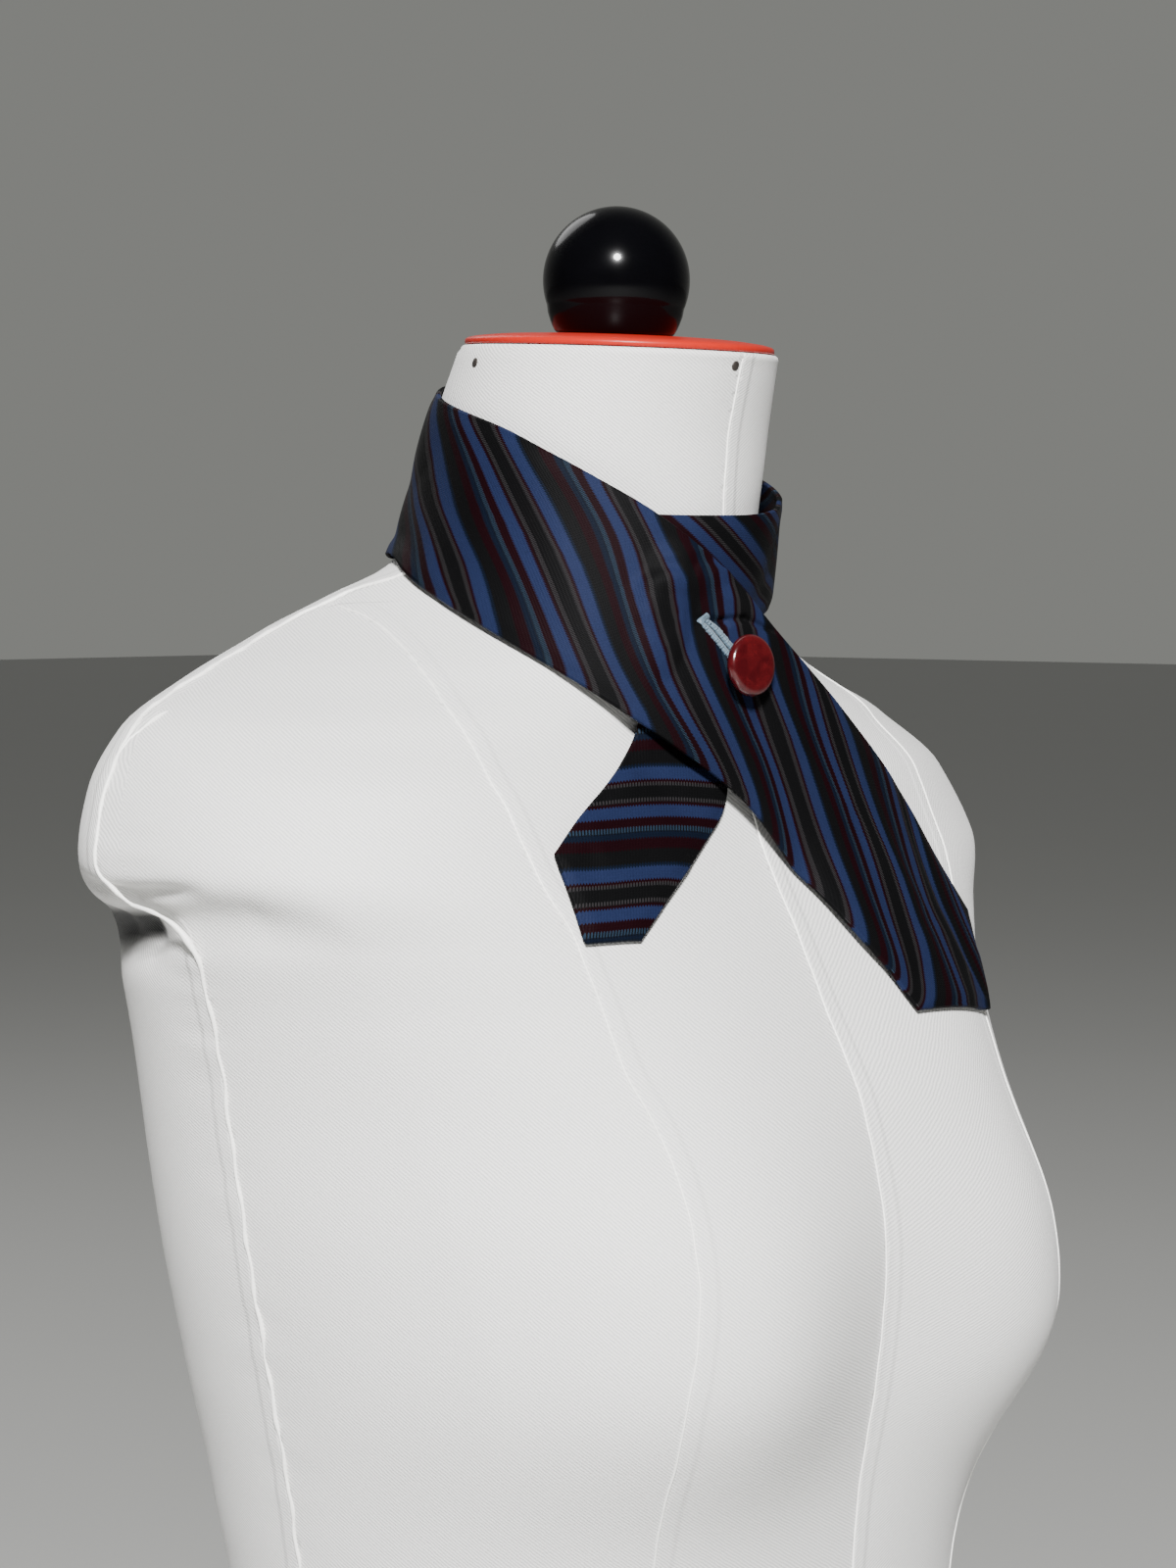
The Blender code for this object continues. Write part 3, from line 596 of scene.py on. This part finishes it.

# ---------------------------------------------------------------- the scarf's cloth and its neck band
# A necktie cut short: striped repp silk folded flat on the bias round a thin lining, so each strip is a soft
# flat tube with rounded edges. The first strip runs from the nape round the form's left side to the throat.
# The rows of all three strips are the source's. They began as rays sent by a program through edges read off the
# photograph, rounded to 0.5 mm, and some were changed since: this is a fault.
CLOTH_WALL, CLOTH_GAP, UNDER_CLEARANCE, OVER_CLEARANCE = 0.0018, 0.0015, 0.0015, 0.0016
EDGE_DROP, EDGE_REACH, TENT_FLAT, TENT_SLOPE, PROBE = 0.0009, 0.0035, 0.004, 0.45, 0.0006
NECK_BAND_ROWS = (
    (0.0001, 0.0425, 0.6900, 0.0001, 0.0685, 0.6315),
    (0.0370, 0.0330, 0.6840, 0.0370, 0.0565, 0.6295),
    (0.0595, 0.0000, 0.6680, 0.0630, 0.0300, 0.6250),
    (0.0555, -0.0375, 0.6560, 0.0655, -0.0080, 0.6200),
    (0.0375, -0.0600, 0.6480, 0.0480, -0.0440, 0.6155),
    (0.0130, -0.0715, 0.6440, 0.0190, -0.0645, 0.6100),
    (-0.0120, -0.0700, 0.6435, -0.0140, -0.0690, 0.6065),
    (-0.0340, -0.0600, 0.6440, -0.0410, -0.0610, 0.6065),
)

# One repeat of the stripes: where each begins, its colour, and whether it is a dotted line. The places were
# read off a printout of the photograph's colours along a line.
CHARCOAL, BLUE = (0.0024, 0.0024, 0.0026), (0.0084, 0.0125, 0.0360)
MAROON, NAVY = (0.0056, 0.0009, 0.0017), (0.0024, 0.0042, 0.0095)
GREY_DOTS, BLUE_DOTS = (0.0170, 0.0155, 0.0165), (0.0110, 0.0200, 0.0340)
# Columns: starts, colour, dotted
STRIPES = (
    (0.000, BLUE, False), (0.128, MAROON, False), (0.160, GREY_DOTS, True), (0.196, CHARCOAL, False),
    (0.318, GREY_DOTS, True), (0.357, MAROON, False), (0.389, BLUE, False), (0.510, MAROON, False),
    (0.603, BLUE_DOTS, True), (0.655, NAVY, False), (0.716, MAROON, False), (0.828, CHARCOAL, False),
    (0.968, NAVY, False),
)
STRIPE_REPEAT = 0.0314
TOOTH, TOOTH_SHARE = 0.0009, 0.0095

# The silk: the UV map gives the repeat number and the metres along the stripe. Every edge is toothed by the
# weave, a dotted line shows on every other tooth, and fine ribs cross the cloth.
tie_silk, tree, shader = new_material(
    "tie_silk", Roughness=0.58, Specular_IOR_Level=0.035, Sheen_Weight=0.008, Sheen_Roughness=0.35)
split = add(tree, "SeparateXYZ", Vector=add(tree, "UVMap", {"uv_map": "cloth"}).outputs[0])
teeth = calc(tree, "SINE", calc(tree, "MULTIPLY", split.outputs[1], 2 * math.pi / TOOTH))
repeat = calc(tree, "FRACT", calc(tree, "MULTIPLY_ADD", teeth, TOOTH_SHARE, split.outputs[0]))
ramp = add(tree, "ValToRGB", _0=repeat)
ramp.color_ramp.interpolation = "CONSTANT"
for n, (starts, colour, dotted) in enumerate(STRIPES):
    stop = ramp.color_ramp.elements[n] if n < 2 else ramp.color_ramp.elements.new(starts)
    stop.position = starts
    stop.color = (*colour, 0.0 if dotted else 1.0)
shown = calc(tree, "MAXIMUM", ramp.outputs["Alpha"], calc(tree, "GREATER_THAN", teeth, -0.1))
dyed = mixed(tree, shown, (*CHARCOAL, 1), ramp.outputs["Color"])
grain = tone_over(tree, shader, dyed, patch=(0.02, 0.25), grain=(0.0005, 0.55))
ribs = calc(tree, "SINE", calc(tree, "MULTIPLY", split.outputs[0], 2 * math.pi * STRIPE_REPEAT / TOOTH))
height = calc(tree, "ADD", calc(tree, "MULTIPLY", teeth, 0.25), calc(tree, "MULTIPLY", ribs, 0.25))
bump_on(tree, shader, calc(tree, "ADD", height, grain), 0.00007)


def over_form(points):
    """How high points lie over the form's skin, and which way is out. A point's share is its reach over the
    oval's at its height; the height is the share past one, over how fast the share grows."""
    def share(p):
        width, front, back, side_y, front_power, back_power = sections_at(p[..., 2])
        y = p[..., 1] + np.where(p[..., 1] < side_y, cup_push(p[..., 0], p[..., 2]), 0)
        power = np.where(y < side_y, front_power, back_power)
        reach = np.where(y < side_y, front + side_y, back - side_y)
        return (np.abs(p[..., 0] / width) ** power + np.abs((y - side_y) / reach) ** power) ** (1 / power)

    probes = np.eye(3) * PROBE
    slope = np.stack([(share(points + p) - share(points - p)) / (2 * PROBE) for p in probes], axis=-1)
    steep = np.linalg.norm(slope, axis=-1, keepdims=True)
    return (share(points) - 1) / steep[..., 0], slope / steep


def strip(rows, along, across, tip=None):
    """A strip's outer face from its two edges' rows, straight across between them, and its places in metres.
    A free end is drawn out to its tip, given as the point, its share across and where along it begins."""
    rows = np.asarray(rows)
    middle = (rows[:, :3] + rows[:, 3:]) / 2
    length = run_along(middle)
    cuts = curve_through(length, rows, along * length[-1], np.gradient(rows, length, axis=0))
    w = across[None, :, None]
    points = cuts[:, None, :3] * (1 - w) + cuts[:, None, 3:] * w
    if tip is not None:
        place, at, start = tip
        shape = np.where(w < at, w / at, (1 - w) / (1 - at))
        grow = np.clip((along - start) / (1 - start), 0, 1)[:, None, None]
        foot = points[-1, 0] * (1 - at) + points[-1, -1] * at
        points = points + shape * grow * (np.asarray(place) - foot)
    return points, run_along(points[:, len(across) // 2])


def steps(*stretches):
    """Shares from 0 to 1 in even stretches: the share that each ends at and its count of steps."""
    ends = [0] + [share for share, _ in stretches]
    even = [np.linspace(ends[n], ends[n + 1], count, endpoint=False) for n, (_, count) in enumerate(stretches)]
    return np.append(np.concatenate(even), 1.0)


def blurred(field, times):
    """The field averaged with its neighbours, the given number of times."""
    for _ in range(times):
        padded = np.pad(field, ((1, 1), (1, 1)), mode="edge")
        field = (padded[:-2, 1:-1] + padded[2:, 1:-1] + padded[1:-1, :-2] + padded[1:-1, 2:] + 2 * field) / 6
    return field


def lay(points, clearance, under=()):
    """Pushes a strip out until it clears the form and, as a tent over their edges, the strips that it covers."""
    if under:
        lower = np.concatenate([face[::4, ::3].reshape(-1, 3) for face in under])
        lower_height, lower_out = over_form(lower)
        lower_skin = lower - lower_out * lower_height[:, None]
        tent = lower_height + CLOTH_WALL + CLOTH_GAP
    for _ in range(3):
        height, out = over_form(points)
        need = np.full(height.shape, clearance)
        if under:
            skin_level = (points - out * height[..., None]).reshape(-1, 3)
            away = np.clip(distances(skin_level, lower_skin) - TENT_FLAT, 0, None)
            need = np.maximum(need, (tent[None, :] - TENT_SLOPE * away).max(1).reshape(height.shape))
        push = blurred(np.clip(need - height, 0, None), 6)
        points = points + out * push[..., None]
    return points


def creases_on(points, along, across, creases):
    """The height of soft troughs and ridges on a strip: each is a line between two places, with a bell-shaped
    section that fades out at its ends. Places are metres along and shares across; below zero is a trough."""
    width = np.linalg.norm(points[:, -1] - points[:, 0], axis=1).mean()
    s, t = along[:, None], across[None, :] * width
    lift = np.zeros(points.shape[:2])
    for s0, w0, s1, w1, broad, depth in creases:
        ahead = np.array([s1 - s0, (w1 - w0) * width])
        reach = np.linalg.norm(ahead)
        u = ((s - s0) * ahead[0] + (t - w0 * width) * ahead[1]) / reach**2
        off = ((s - s0) * ahead[1] - (t - w0 * width) * ahead[0]) / reach
        fade = np.clip(np.minimum(u + 0.15, 1.15 - u) / 0.3, 0, 1)
        lift += depth * bell(off, 0, broad) * fade * fade * (3 - 2 * fade)
    return lift


def creased(points, along, across, creases):
    """The strip bent along its creases, its whole thickness together."""
    return points + over_form(points)[1] * creases_on(points, along, across, creases)[..., None]


def cloth_shell(name, points, uv, along, across, tucks=()):
    """A flat tube of cloth from its outer face: two faces a wall apart that draw together in a half round at
    every edge, so they share the points there. A tuck is a crease that dents only the outer face."""
    def refine(field, at, to):
        i = np.clip(np.searchsorted(at, to, side="right") - 1, 0, len(at) - 2)
        share = ((to - at[i]) / (at[i + 1] - at[i])).reshape((-1,) + (1,) * (field.ndim - 1))
        return field[i] * (1 - share) + field[i + 1] * share

    # Extra steps beside each edge, for its rounding
    near = CLOTH_WALL / 2 * np.array([0.08, 0.3, 0.65, 1.0])
    for axis, at in ((0, along), (1, across)):
        to = np.sort(np.concatenate([at, near, at[-1] - near]))
        points = np.swapaxes(refine(np.swapaxes(points, 0, axis), at, to), 0, axis)
        uv = np.swapaxes(refine(np.swapaxes(uv, 0, axis), at, to), 0, axis)
        along, across = (to, across) if axis == 0 else (along, to)
    normal = unit(np.cross(np.gradient(points, axis=0), np.gradient(points, axis=1)))
    flip = (normal * over_form(points)[1]).sum() < 0
    normal = -normal if flip else normal
    round_size = CLOTH_WALL / 2
    from_end, from_side = np.minimum(along, along[-1] - along), np.minimum(across, across[-1] - across)
    inside = np.minimum(from_end[:, None], from_side[None, :])
    half = round_size * np.sqrt(np.clip(1 - (1 - np.clip(inside / round_size, 0, 1)) ** 2, 0, 1))
    sunk = EDGE_DROP * bell(inside, 0, EDGE_REACH)
    middle = points - normal * (round_size + sunk)[..., None]
    rows, columns = half.shape
    edge = np.zeros((rows, columns), bool)
    edge[[0, -1]] = edge[:, [0, -1]] = True
    own = np.arange(rows * columns).reshape(rows, columns)
    number = np.where(edge, own, rows * columns + np.cumsum(~edge).reshape(rows, columns) - 1)
    dent = creases_on(points, along, across / across[-1], tucks) * half / round_size
    outer, inner = middle + normal * (half + dent)[..., None], middle - normal * half[..., None]
    top = grid_faces(rows, columns)
    low = number.reshape(-1)[top]
    faces = np.concatenate([top[:, ::-1] if flip else top, low if flip else low[:, ::-1]])
    all_points = np.concatenate([outer.reshape(-1, 3), inner[~edge]])
    all_uv = np.concatenate([uv.reshape(-1, 2), uv[~edge]])
    return new_piece(name, all_points, faces.tolist(), tie_silk, all_uv)


BAND_WIDTH = 0.047
along, across = steps((1, 190)), steps((1, 44))
band_face, run = strip(NECK_BAND_ROWS, along, across)
band_face = lay(band_face, UNDER_CLEARANCE + CLOTH_WALL)
BAND_CREASES = (
    (0.020, 0.80, 0.110, 0.55, 0.010, 0.0012),
    (0.150, 0.05, 0.190, 0.90, 0.007, -0.0012),
    (0.100, 0.10, 0.135, 0.80, 0.008, -0.0009),
)
band_face = creased(band_face, run, across, BAND_CREASES)
s, w = np.meshgrid(run, across, indexing="ij")
BAND_REPEAT = 0.0515
uv = np.stack([0.448 + (s - 0.2265 + 0.050 * w) / BAND_REPEAT, w * 0.060], axis=-1)
band = cloth_shell("neck_band", band_face, uv, run, across * BAND_WIDTH)
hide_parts("scarf_neck_band")

# ---------------------------------------------------------------- the short end
# The tie's narrow end, crossing under the long one at the throat and lying on the form's right chest. It
# ends in the tie's own blunt point, and its stripes run level.
SHORT_END_ROWS = (
    (-0.0300, -0.0685, 0.6275, 0.0060, -0.0740, 0.6130),
    (-0.0340, -0.0700, 0.6080, 0.0040, -0.0755, 0.5905),
    (-0.0400, -0.0685, 0.5840, -0.0055, -0.0715, 0.5680),
    (-0.0460, -0.0690, 0.5735, -0.0135, -0.0790, 0.5535),
    (-0.0630, -0.0740, 0.5615, -0.0315, -0.0850, 0.5400),
    (-0.0810, -0.0780, 0.5510, -0.0525, -0.0920, 0.5285),
    (-0.0935, -0.0800, 0.5415, -0.0735, -0.0965, 0.5145),
)
SHORT_TIP = ((-0.0930, -0.0915, 0.5145), 0.60, 0.55)
SHORT_WIDTH = 0.040
along, across = steps((1, 120)), steps((1, 38))
short_face, run = strip(SHORT_END_ROWS, along, across, SHORT_TIP)
short_face = lay(short_face, UNDER_CLEARANCE + CLOTH_WALL, [band_face])
SHORT_CREASES = (
    (0.070, 0.10, 0.080, 0.95, 0.006, -0.0008),
    (0.100, 0.95, 0.118, 0.25, 0.007, 0.0009),
)
short_face = creased(short_face, run, across, SHORT_CREASES)
# Level stripes: the repeat counts down the height, with a slight lean along the way the camera looks, and a
# slight wave across it
LEVEL_STRIPE, LEVEL_REPEAT = 0.5629, 0.0305
AHEAD_X, AHEAD_Y = 0.7337, 0.6794
lean = 0.056 * (AHEAD_X * (short_face[..., 0] + 0.05) + AHEAD_Y * (short_face[..., 1] + 0.08))
sideways = AHEAD_Y * short_face[..., 0] - AHEAD_X * short_face[..., 1]
bend = 0.0006 * np.sin((sideways - 0.015) * 2 * math.pi / 0.05)
uv = np.stack([0.063 + (LEVEL_STRIPE - lean + bend - short_face[..., 2]) / LEVEL_REPEAT, sideways], axis=-1)
short = cloth_shell("short_end", short_face, uv, run, across * SHORT_WIDTH)
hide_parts("scarf_short_end")

# ---------------------------------------------------------------- the long end
# The tie's wide end, from the seam at the nape round the form's right side and down over the short end to
# the left chest. The stripes bend with the bias as the cloth is pulled round.
LONG_END_ROWS = (
    (-0.0001, 0.0425, 0.6900, -0.0001, 0.0685, 0.6315),
    (-0.0280, 0.0350, 0.6880, -0.0275, 0.0585, 0.6300),
    (-0.0500, 0.0145, 0.6815, -0.0480, 0.0350, 0.6250),
    (-0.0580, -0.0255, 0.6700, -0.0675, 0.0025, 0.6190),
    (-0.0475, -0.0495, 0.6570, -0.0700, -0.0330, 0.6050),
    (-0.0325, -0.0665, 0.6440, -0.0575, -0.0605, 0.5885),
    (-0.0135, -0.0770, 0.6280, -0.0365, -0.0775, 0.5710),
    (0.0045, -0.0845, 0.6075, -0.0125, -0.0845, 0.5540),
    (0.0340, -0.0860, 0.5835, 0.0080, -0.0915, 0.5300),
    (0.0655, -0.0860, 0.5560, 0.0230, -0.1045, 0.5095),
    (0.0855, -0.0895, 0.5280, 0.0350, -0.1120, 0.4940),
    (0.0960, -0.0940, 0.5110, 0.0395, -0.1160, 0.4850),
)
LONG_TIP = ((0.0895, -0.1085, 0.4805), 0.50, 0.82)
LONG_WIDTH = 0.061
along, across = steps((0.54, 165), (0.66, 76), (1, 118)), steps((0.45, 42), (1, 32))
long_face, run = strip(LONG_END_ROWS, along, across, LONG_TIP)
# The end's upper corner is folded a little shorter, which leaves a small step in the end's edge
STEP_AT, STEP_BACK = 0.24, 0.0016
shorter = STEP_BACK * np.clip((STEP_AT - across) / 0.03, 0, 1) * np.clip((along[:, None] - 0.95) / 0.05, 0, 1)
long_face = long_face - shorter[..., None] * unit(long_face[-1] - long_face[-8])[None]
long_face = lay(long_face, OVER_CLEARANCE + CLOTH_WALL, [band_face, short_face])
LONG_CREASES = (
    (0.1800, 0.250, 0.2100, 0.020, 0.0034, 0.0010),
    (0.060, 0.15, 0.120, 0.90, 0.0110, -0.0010),
    (0.110, 0.05, 0.160, 0.80, 0.0090, 0.0009),
    (0.215, 0.45, 0.262, 0.98, 0.0070, -0.0011),
    (0.255, 0.10, 0.330, 0.75, 0.0070, 0.0012),
    (0.300, 0.05, 0.360, 0.55, 0.0050, -0.0011),
    (0.270, 0.45, 0.345, 0.95, 0.0060, -0.0009),
    (0.010, 0.30, 0.050, 0.95, 0.0090, 0.0012),
)
long_face = creased(long_face, run, across, LONG_CREASES)
# The sharp tuck from the buttonhole's upper end to the strip's upper edge, where the button pulls the cloth.
# Its places were read off the photograph and turned into places on the strip by a program.
LONG_TUCKS = (
    (0.1872, 0.355, 0.1985, 0.245, 0.0011, -0.0016),
    (0.1960, 0.265, 0.2060, 0.130, 0.0009, -0.0013),
    (0.2050, 0.150, 0.2200, 0.030, 0.0010, -0.0014),
)
# Where the middle of each band of blue crosses the strip, in metres along it from the nape. The bands were
# traced: points along each were read off the photograph and turned into places on the strip by a program.
# This is a fault.
# Columns: repeat, upper edge, quarter, middle, three quarters, lower edge
STRIPE_ROWS = np.array([
    (2.448, -0.047, -0.045, -0.025, 0.000, 0.022),
    (1.448, 0.018, 0.029, 0.051, 0.086, 0.112),
    (1.063, 0.052, 0.068, 0.087, 0.114, 0.130),
    (0.448, 0.076, 0.101, 0.124, 0.143, 0.159),
    (0.063, 0.098, 0.125, 0.146, 0.161, 0.181),
    (-0.552, 0.134, 0.157, 0.169, 0.184, 0.211),
    (-0.937, 0.156, 0.176, 0.187, 0.209, 0.230),
    (-1.552, 0.190, 0.201, 0.214, 0.239, 0.259),
    (-1.937, 0.209, 0.221, 0.247, 0.270, 0.301),
    (-2.552, 0.235, 0.252, 0.279, 0.303, 0.342),
    (-2.937, 0.253, 0.273, 0.299, 0.331, 0.364),
    (-3.552, 0.290, 0.305, 0.319, 0.361, 0.392),
    (-3.937, 0.307, 0.325, 0.350, 0.376, 0.412),
    (-5.000, 0.360, 0.380, 0.404, 0.430, 0.465),
])
crossing = curve_through(np.linspace(0, 1, 5), STRIPE_ROWS[:, 1:].T, across)
repeat = np.stack([curve_through(crossing[n], STRIPE_ROWS[:, 0], run)[:, 0] for n in range(len(across))], axis=1)
repeat = blurred(repeat, 10)
uv = np.stack([repeat, np.broadcast_to(across * 0.098, repeat.shape)], axis=-1)
long = cloth_shell("long_end", long_face, uv, run, across * LONG_WIDTH, LONG_TUCKS)


def main_axis(node, thinnest):
    """A round CAD node's middle and its axis, the way its points spread least or most."""
    co = np.array([v.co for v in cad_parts[node].data.vertices])
    middle = (co.min(0) + co.max(0)) / 2
    spread = np.linalg.eigh(np.cov((co - co.mean(0)).T))[1]
    axis = spread[:, 0 if thinnest else -1]
    return co, middle, axis * (-1 if axis[1] > 0 else 1)


# The buttonhole: a slot with round ends that runs down to the button, and the cloth is cut right through
SLOT_LENGTH, SLOT_WIDTH, SLOT_ANGLE = 0.0220, 0.0024, math.radians(50)
SHANK_OVER_CLOTH, CUTTER_REACH = 0.00225, 0.006
shank_points, shank_middle, out = main_axis("button_shank", False)
hit = Vector(shank_middle + out * (((shank_points - shank_middle) @ out).max() - SHANK_OVER_CLOTH))
out = Vector(out)
level = Vector((0, 0, 1)).cross(out).normalized()
stand = Matrix((level, out.cross(level), out)).transposed()
slot_ahead = stand @ Matrix.Rotation(-SLOT_ANGLE, 3, "Z") @ Vector((1, 0, 0))
slot_side = out.cross(slot_ahead)
a = np.linspace(-math.pi / 2, math.pi / 2, 10)
half = (SLOT_LENGTH - SLOT_WIDTH) / 2
outline = np.concatenate([
    np.stack([half + SLOT_WIDTH / 2 * np.cos(a), SLOT_WIDTH / 2 * np.sin(a)], axis=1),
    np.stack([-half - SLOT_WIDTH / 2 * np.cos(a), -SLOT_WIDTH / 2 * np.sin(a)], axis=1),
])
slot_middle = np.array(hit + slot_ahead * (SLOT_WIDTH - SLOT_LENGTH / 2))
ring = slot_middle + outline[:, :1] * np.array(slot_ahead) + outline[:, 1:] * np.array(slot_side)
cutter_mesh = bpy.data.meshes.new("slot_cutter")
cutter_points = np.array([ring - np.array(out) * CUTTER_REACH, ring + np.array(out) * CUTTER_REACH])
cutter_mesh.from_pydata(cutter_points.reshape(-1, 3).tolist(), [], closed_faces(2, len(outline)))
cutter = bpy.data.objects.new("slot_cutter", cutter_mesh)
bpy.context.scene.collection.objects.link(cutter)
cut = long.modifiers.new("buttonhole", "BOOLEAN")
cut.object, cut.solver = cutter, "EXACT"
bpy.context.view_layer.update()
whole = BVHTree.FromPolygons([v.co for v in long.data.vertices], [list(p.vertices) for p in long.data.polygons])
holed = bpy.data.meshes.new_from_object(long.evaluated_get(bpy.context.evaluated_depsgraph_get()))
long.modifiers.clear()
long.data = holed
bpy.data.objects.remove(cutter)
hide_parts("scarf_long_end")

# ---------------------------------------------------------------- the buttonhole's stitching
# Pale blue silk buttonhole thread, worked over both edges of the slot in close stitches, with a bar of
# stitches across its upper end.
hole_thread, tree, shader = new_material("hole_thread", Roughness=0.42, Sheen_Weight=0.3)
grain = tone_over(tree, shader, (0.085, 0.135, 0.180, 1), patch=(0.002, 0.5), grain=(0.0004, 0.3))
bump_on(tree, shader, grain, 0.00006)
STITCH_PITCH, STITCH_RADIUS = 0.00046, 0.00024
# Each stitch's path across the edge, as (distance from the slot's middle, height over the cloth) rows
STITCH_ROWS = (
    (0.00035, -0.0010), (0.00045, 0.0), (0.00090, 0.00040), (0.00150, 0.00045), (0.00195, 0.00020), (0.0021, -0.0004),
)
BAR_ROWS = ((0.0010, 0.0), (0.0006, 0.0007), (-0.0002, 0.00075), (-0.0008, 0.0004), (-0.0010, -0.0004))


def on_cloth(offset_ahead, offset_side, height):
    """The place over the long end's outer face at these offsets from the slot's middle."""
    start = Vector(slot_middle) + slot_ahead * float(offset_ahead) + slot_side * float(offset_side)
    place = whole.ray_cast(start + out * 0.02, -out, 0.05)[0]
    return np.array((place if place else start) + out * float(height))


stitches = []
for n, ahead_at in enumerate(np.arange(-half, half + SLOT_WIDTH / 2, STITCH_PITCH)):
    for side in (-1, 1):
        uneven = 1 + 0.06 * math.sin(n * 2.1 + side) + 0.04 * math.sin(n * 5.3)
        start = ahead_at + 0.00008 * math.sin(n * 3.7)
        path = np.array([on_cloth(start, side * off * uneven, up) for off, up in STITCH_ROWS])
        stitches.append(tube(path, np.broadcast_to(np.array(slot_ahead), path.shape), STITCH_RADIUS, 6))
for side_at in np.arange(-0.0018, 0.0019, STITCH_PITCH):
    path = np.array([on_cloth(-half - SLOT_WIDTH / 2 + along_at, side_at, up) for along_at, up in BAR_ROWS])
    stitches.append(tube(path, np.broadcast_to(np.array(slot_side), path.shape), STITCH_RADIUS, 6))
points, faces = joined(stitches)
stitching = new_piece("hole_stitching", points, faces, hole_thread)

# ---------------------------------------------------------------- the button and its shank of thread
# A flat dark red plastic button with a round edge, 20 mm across, sewn to the short end by a wrapped thread
# shank that comes up through the buttonhole.
BUTTON_PROFILE = (
    (0.0, 0.00405), (0.0030, 0.00405), (0.0060, 0.00402), (0.0078, 0.00396), (0.0086, 0.00380), (0.0091, 0.00350),
    (0.0095, 0.00305), (0.0098, 0.00245), (0.0099, 0.0019), (0.0098, 0.0013), (0.0095, 0.0008), (0.0088, 0.0003),
    (0.0080, 0.00005), (0.0040, 0.0), (0.0, 0.0),
)
button_plastic, tree, shader = new_material(
    "button_plastic", Roughness=0.22, Specular_IOR_Level=0.3, Coat_Weight=0.5, Coat_Roughness=0.08)
swirl = noise(tree, add(tree, "TexCoord").outputs["Object"], 150.0, 3.0, Distortion=1.5)
veins = ranged(tree, swirl, 0.40, 0.66, kind="LINEAR")
marbled = mixed(tree, veins, (0.034, 0.0016, 0.0026, 1), (0.056, 0.0032, 0.0042, 1))
grain = tone_over(tree, shader, marbled, patch=(0.004, 0.2), grain=(0.0005, 0.1))
bump_on(tree, shader, grain, 0.00002)
button_points, button_middle, button_out = main_axis("button", True)
reach = (button_points - button_middle) @ button_out
button_foot = button_middle + button_out * reach.min()
points, faces = turned(BUTTON_PROFILE, button_foot, button_out, 72)
button = new_piece("red_button", points, faces, button_plastic)
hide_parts("button")

shank_thread, tree, shader = new_material("shank_thread", Roughness=0.6, Sheen_Weight=0.2)
grain = tone_over(tree, shader, (0.050, 0.045, 0.060, 1), patch=(0.002, 0.4), grain=(0.0004, 0.3))
bump_on(tree, shader, grain, 0.00008)
reach = (shank_points - shank_middle) @ np.array(out)
THREAD_TURNS, THREAD_RADIUS, COIL_RADIUS, CORE_RADIUS = 9, 0.0003, 0.00048, 0.0005
a = np.linspace(0, THREAD_TURNS * 2 * math.pi, 220)
rise = np.linspace(reach.min() + THREAD_RADIUS, reach.max() - THREAD_RADIUS, len(a))
spoke = np.cos(a)[:, None] * np.array(level) + np.sin(a)[:, None] * np.array(out.cross(level))
coil = shank_middle + spoke * COIL_RADIUS + rise[:, None] * np.array(out)
core = shank_middle + np.linspace(reach.min(), reach.max(), 6)[:, None] * np.array(out)
wound = tube(coil, spoke, THREAD_RADIUS, 6)
points, faces = joined([wound, tube(core, np.broadcast_to(np.array(level), core.shape), CORE_RADIUS, 10)])
shank = new_piece("thread_shank", points, faces, shank_thread)
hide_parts("button_shank")
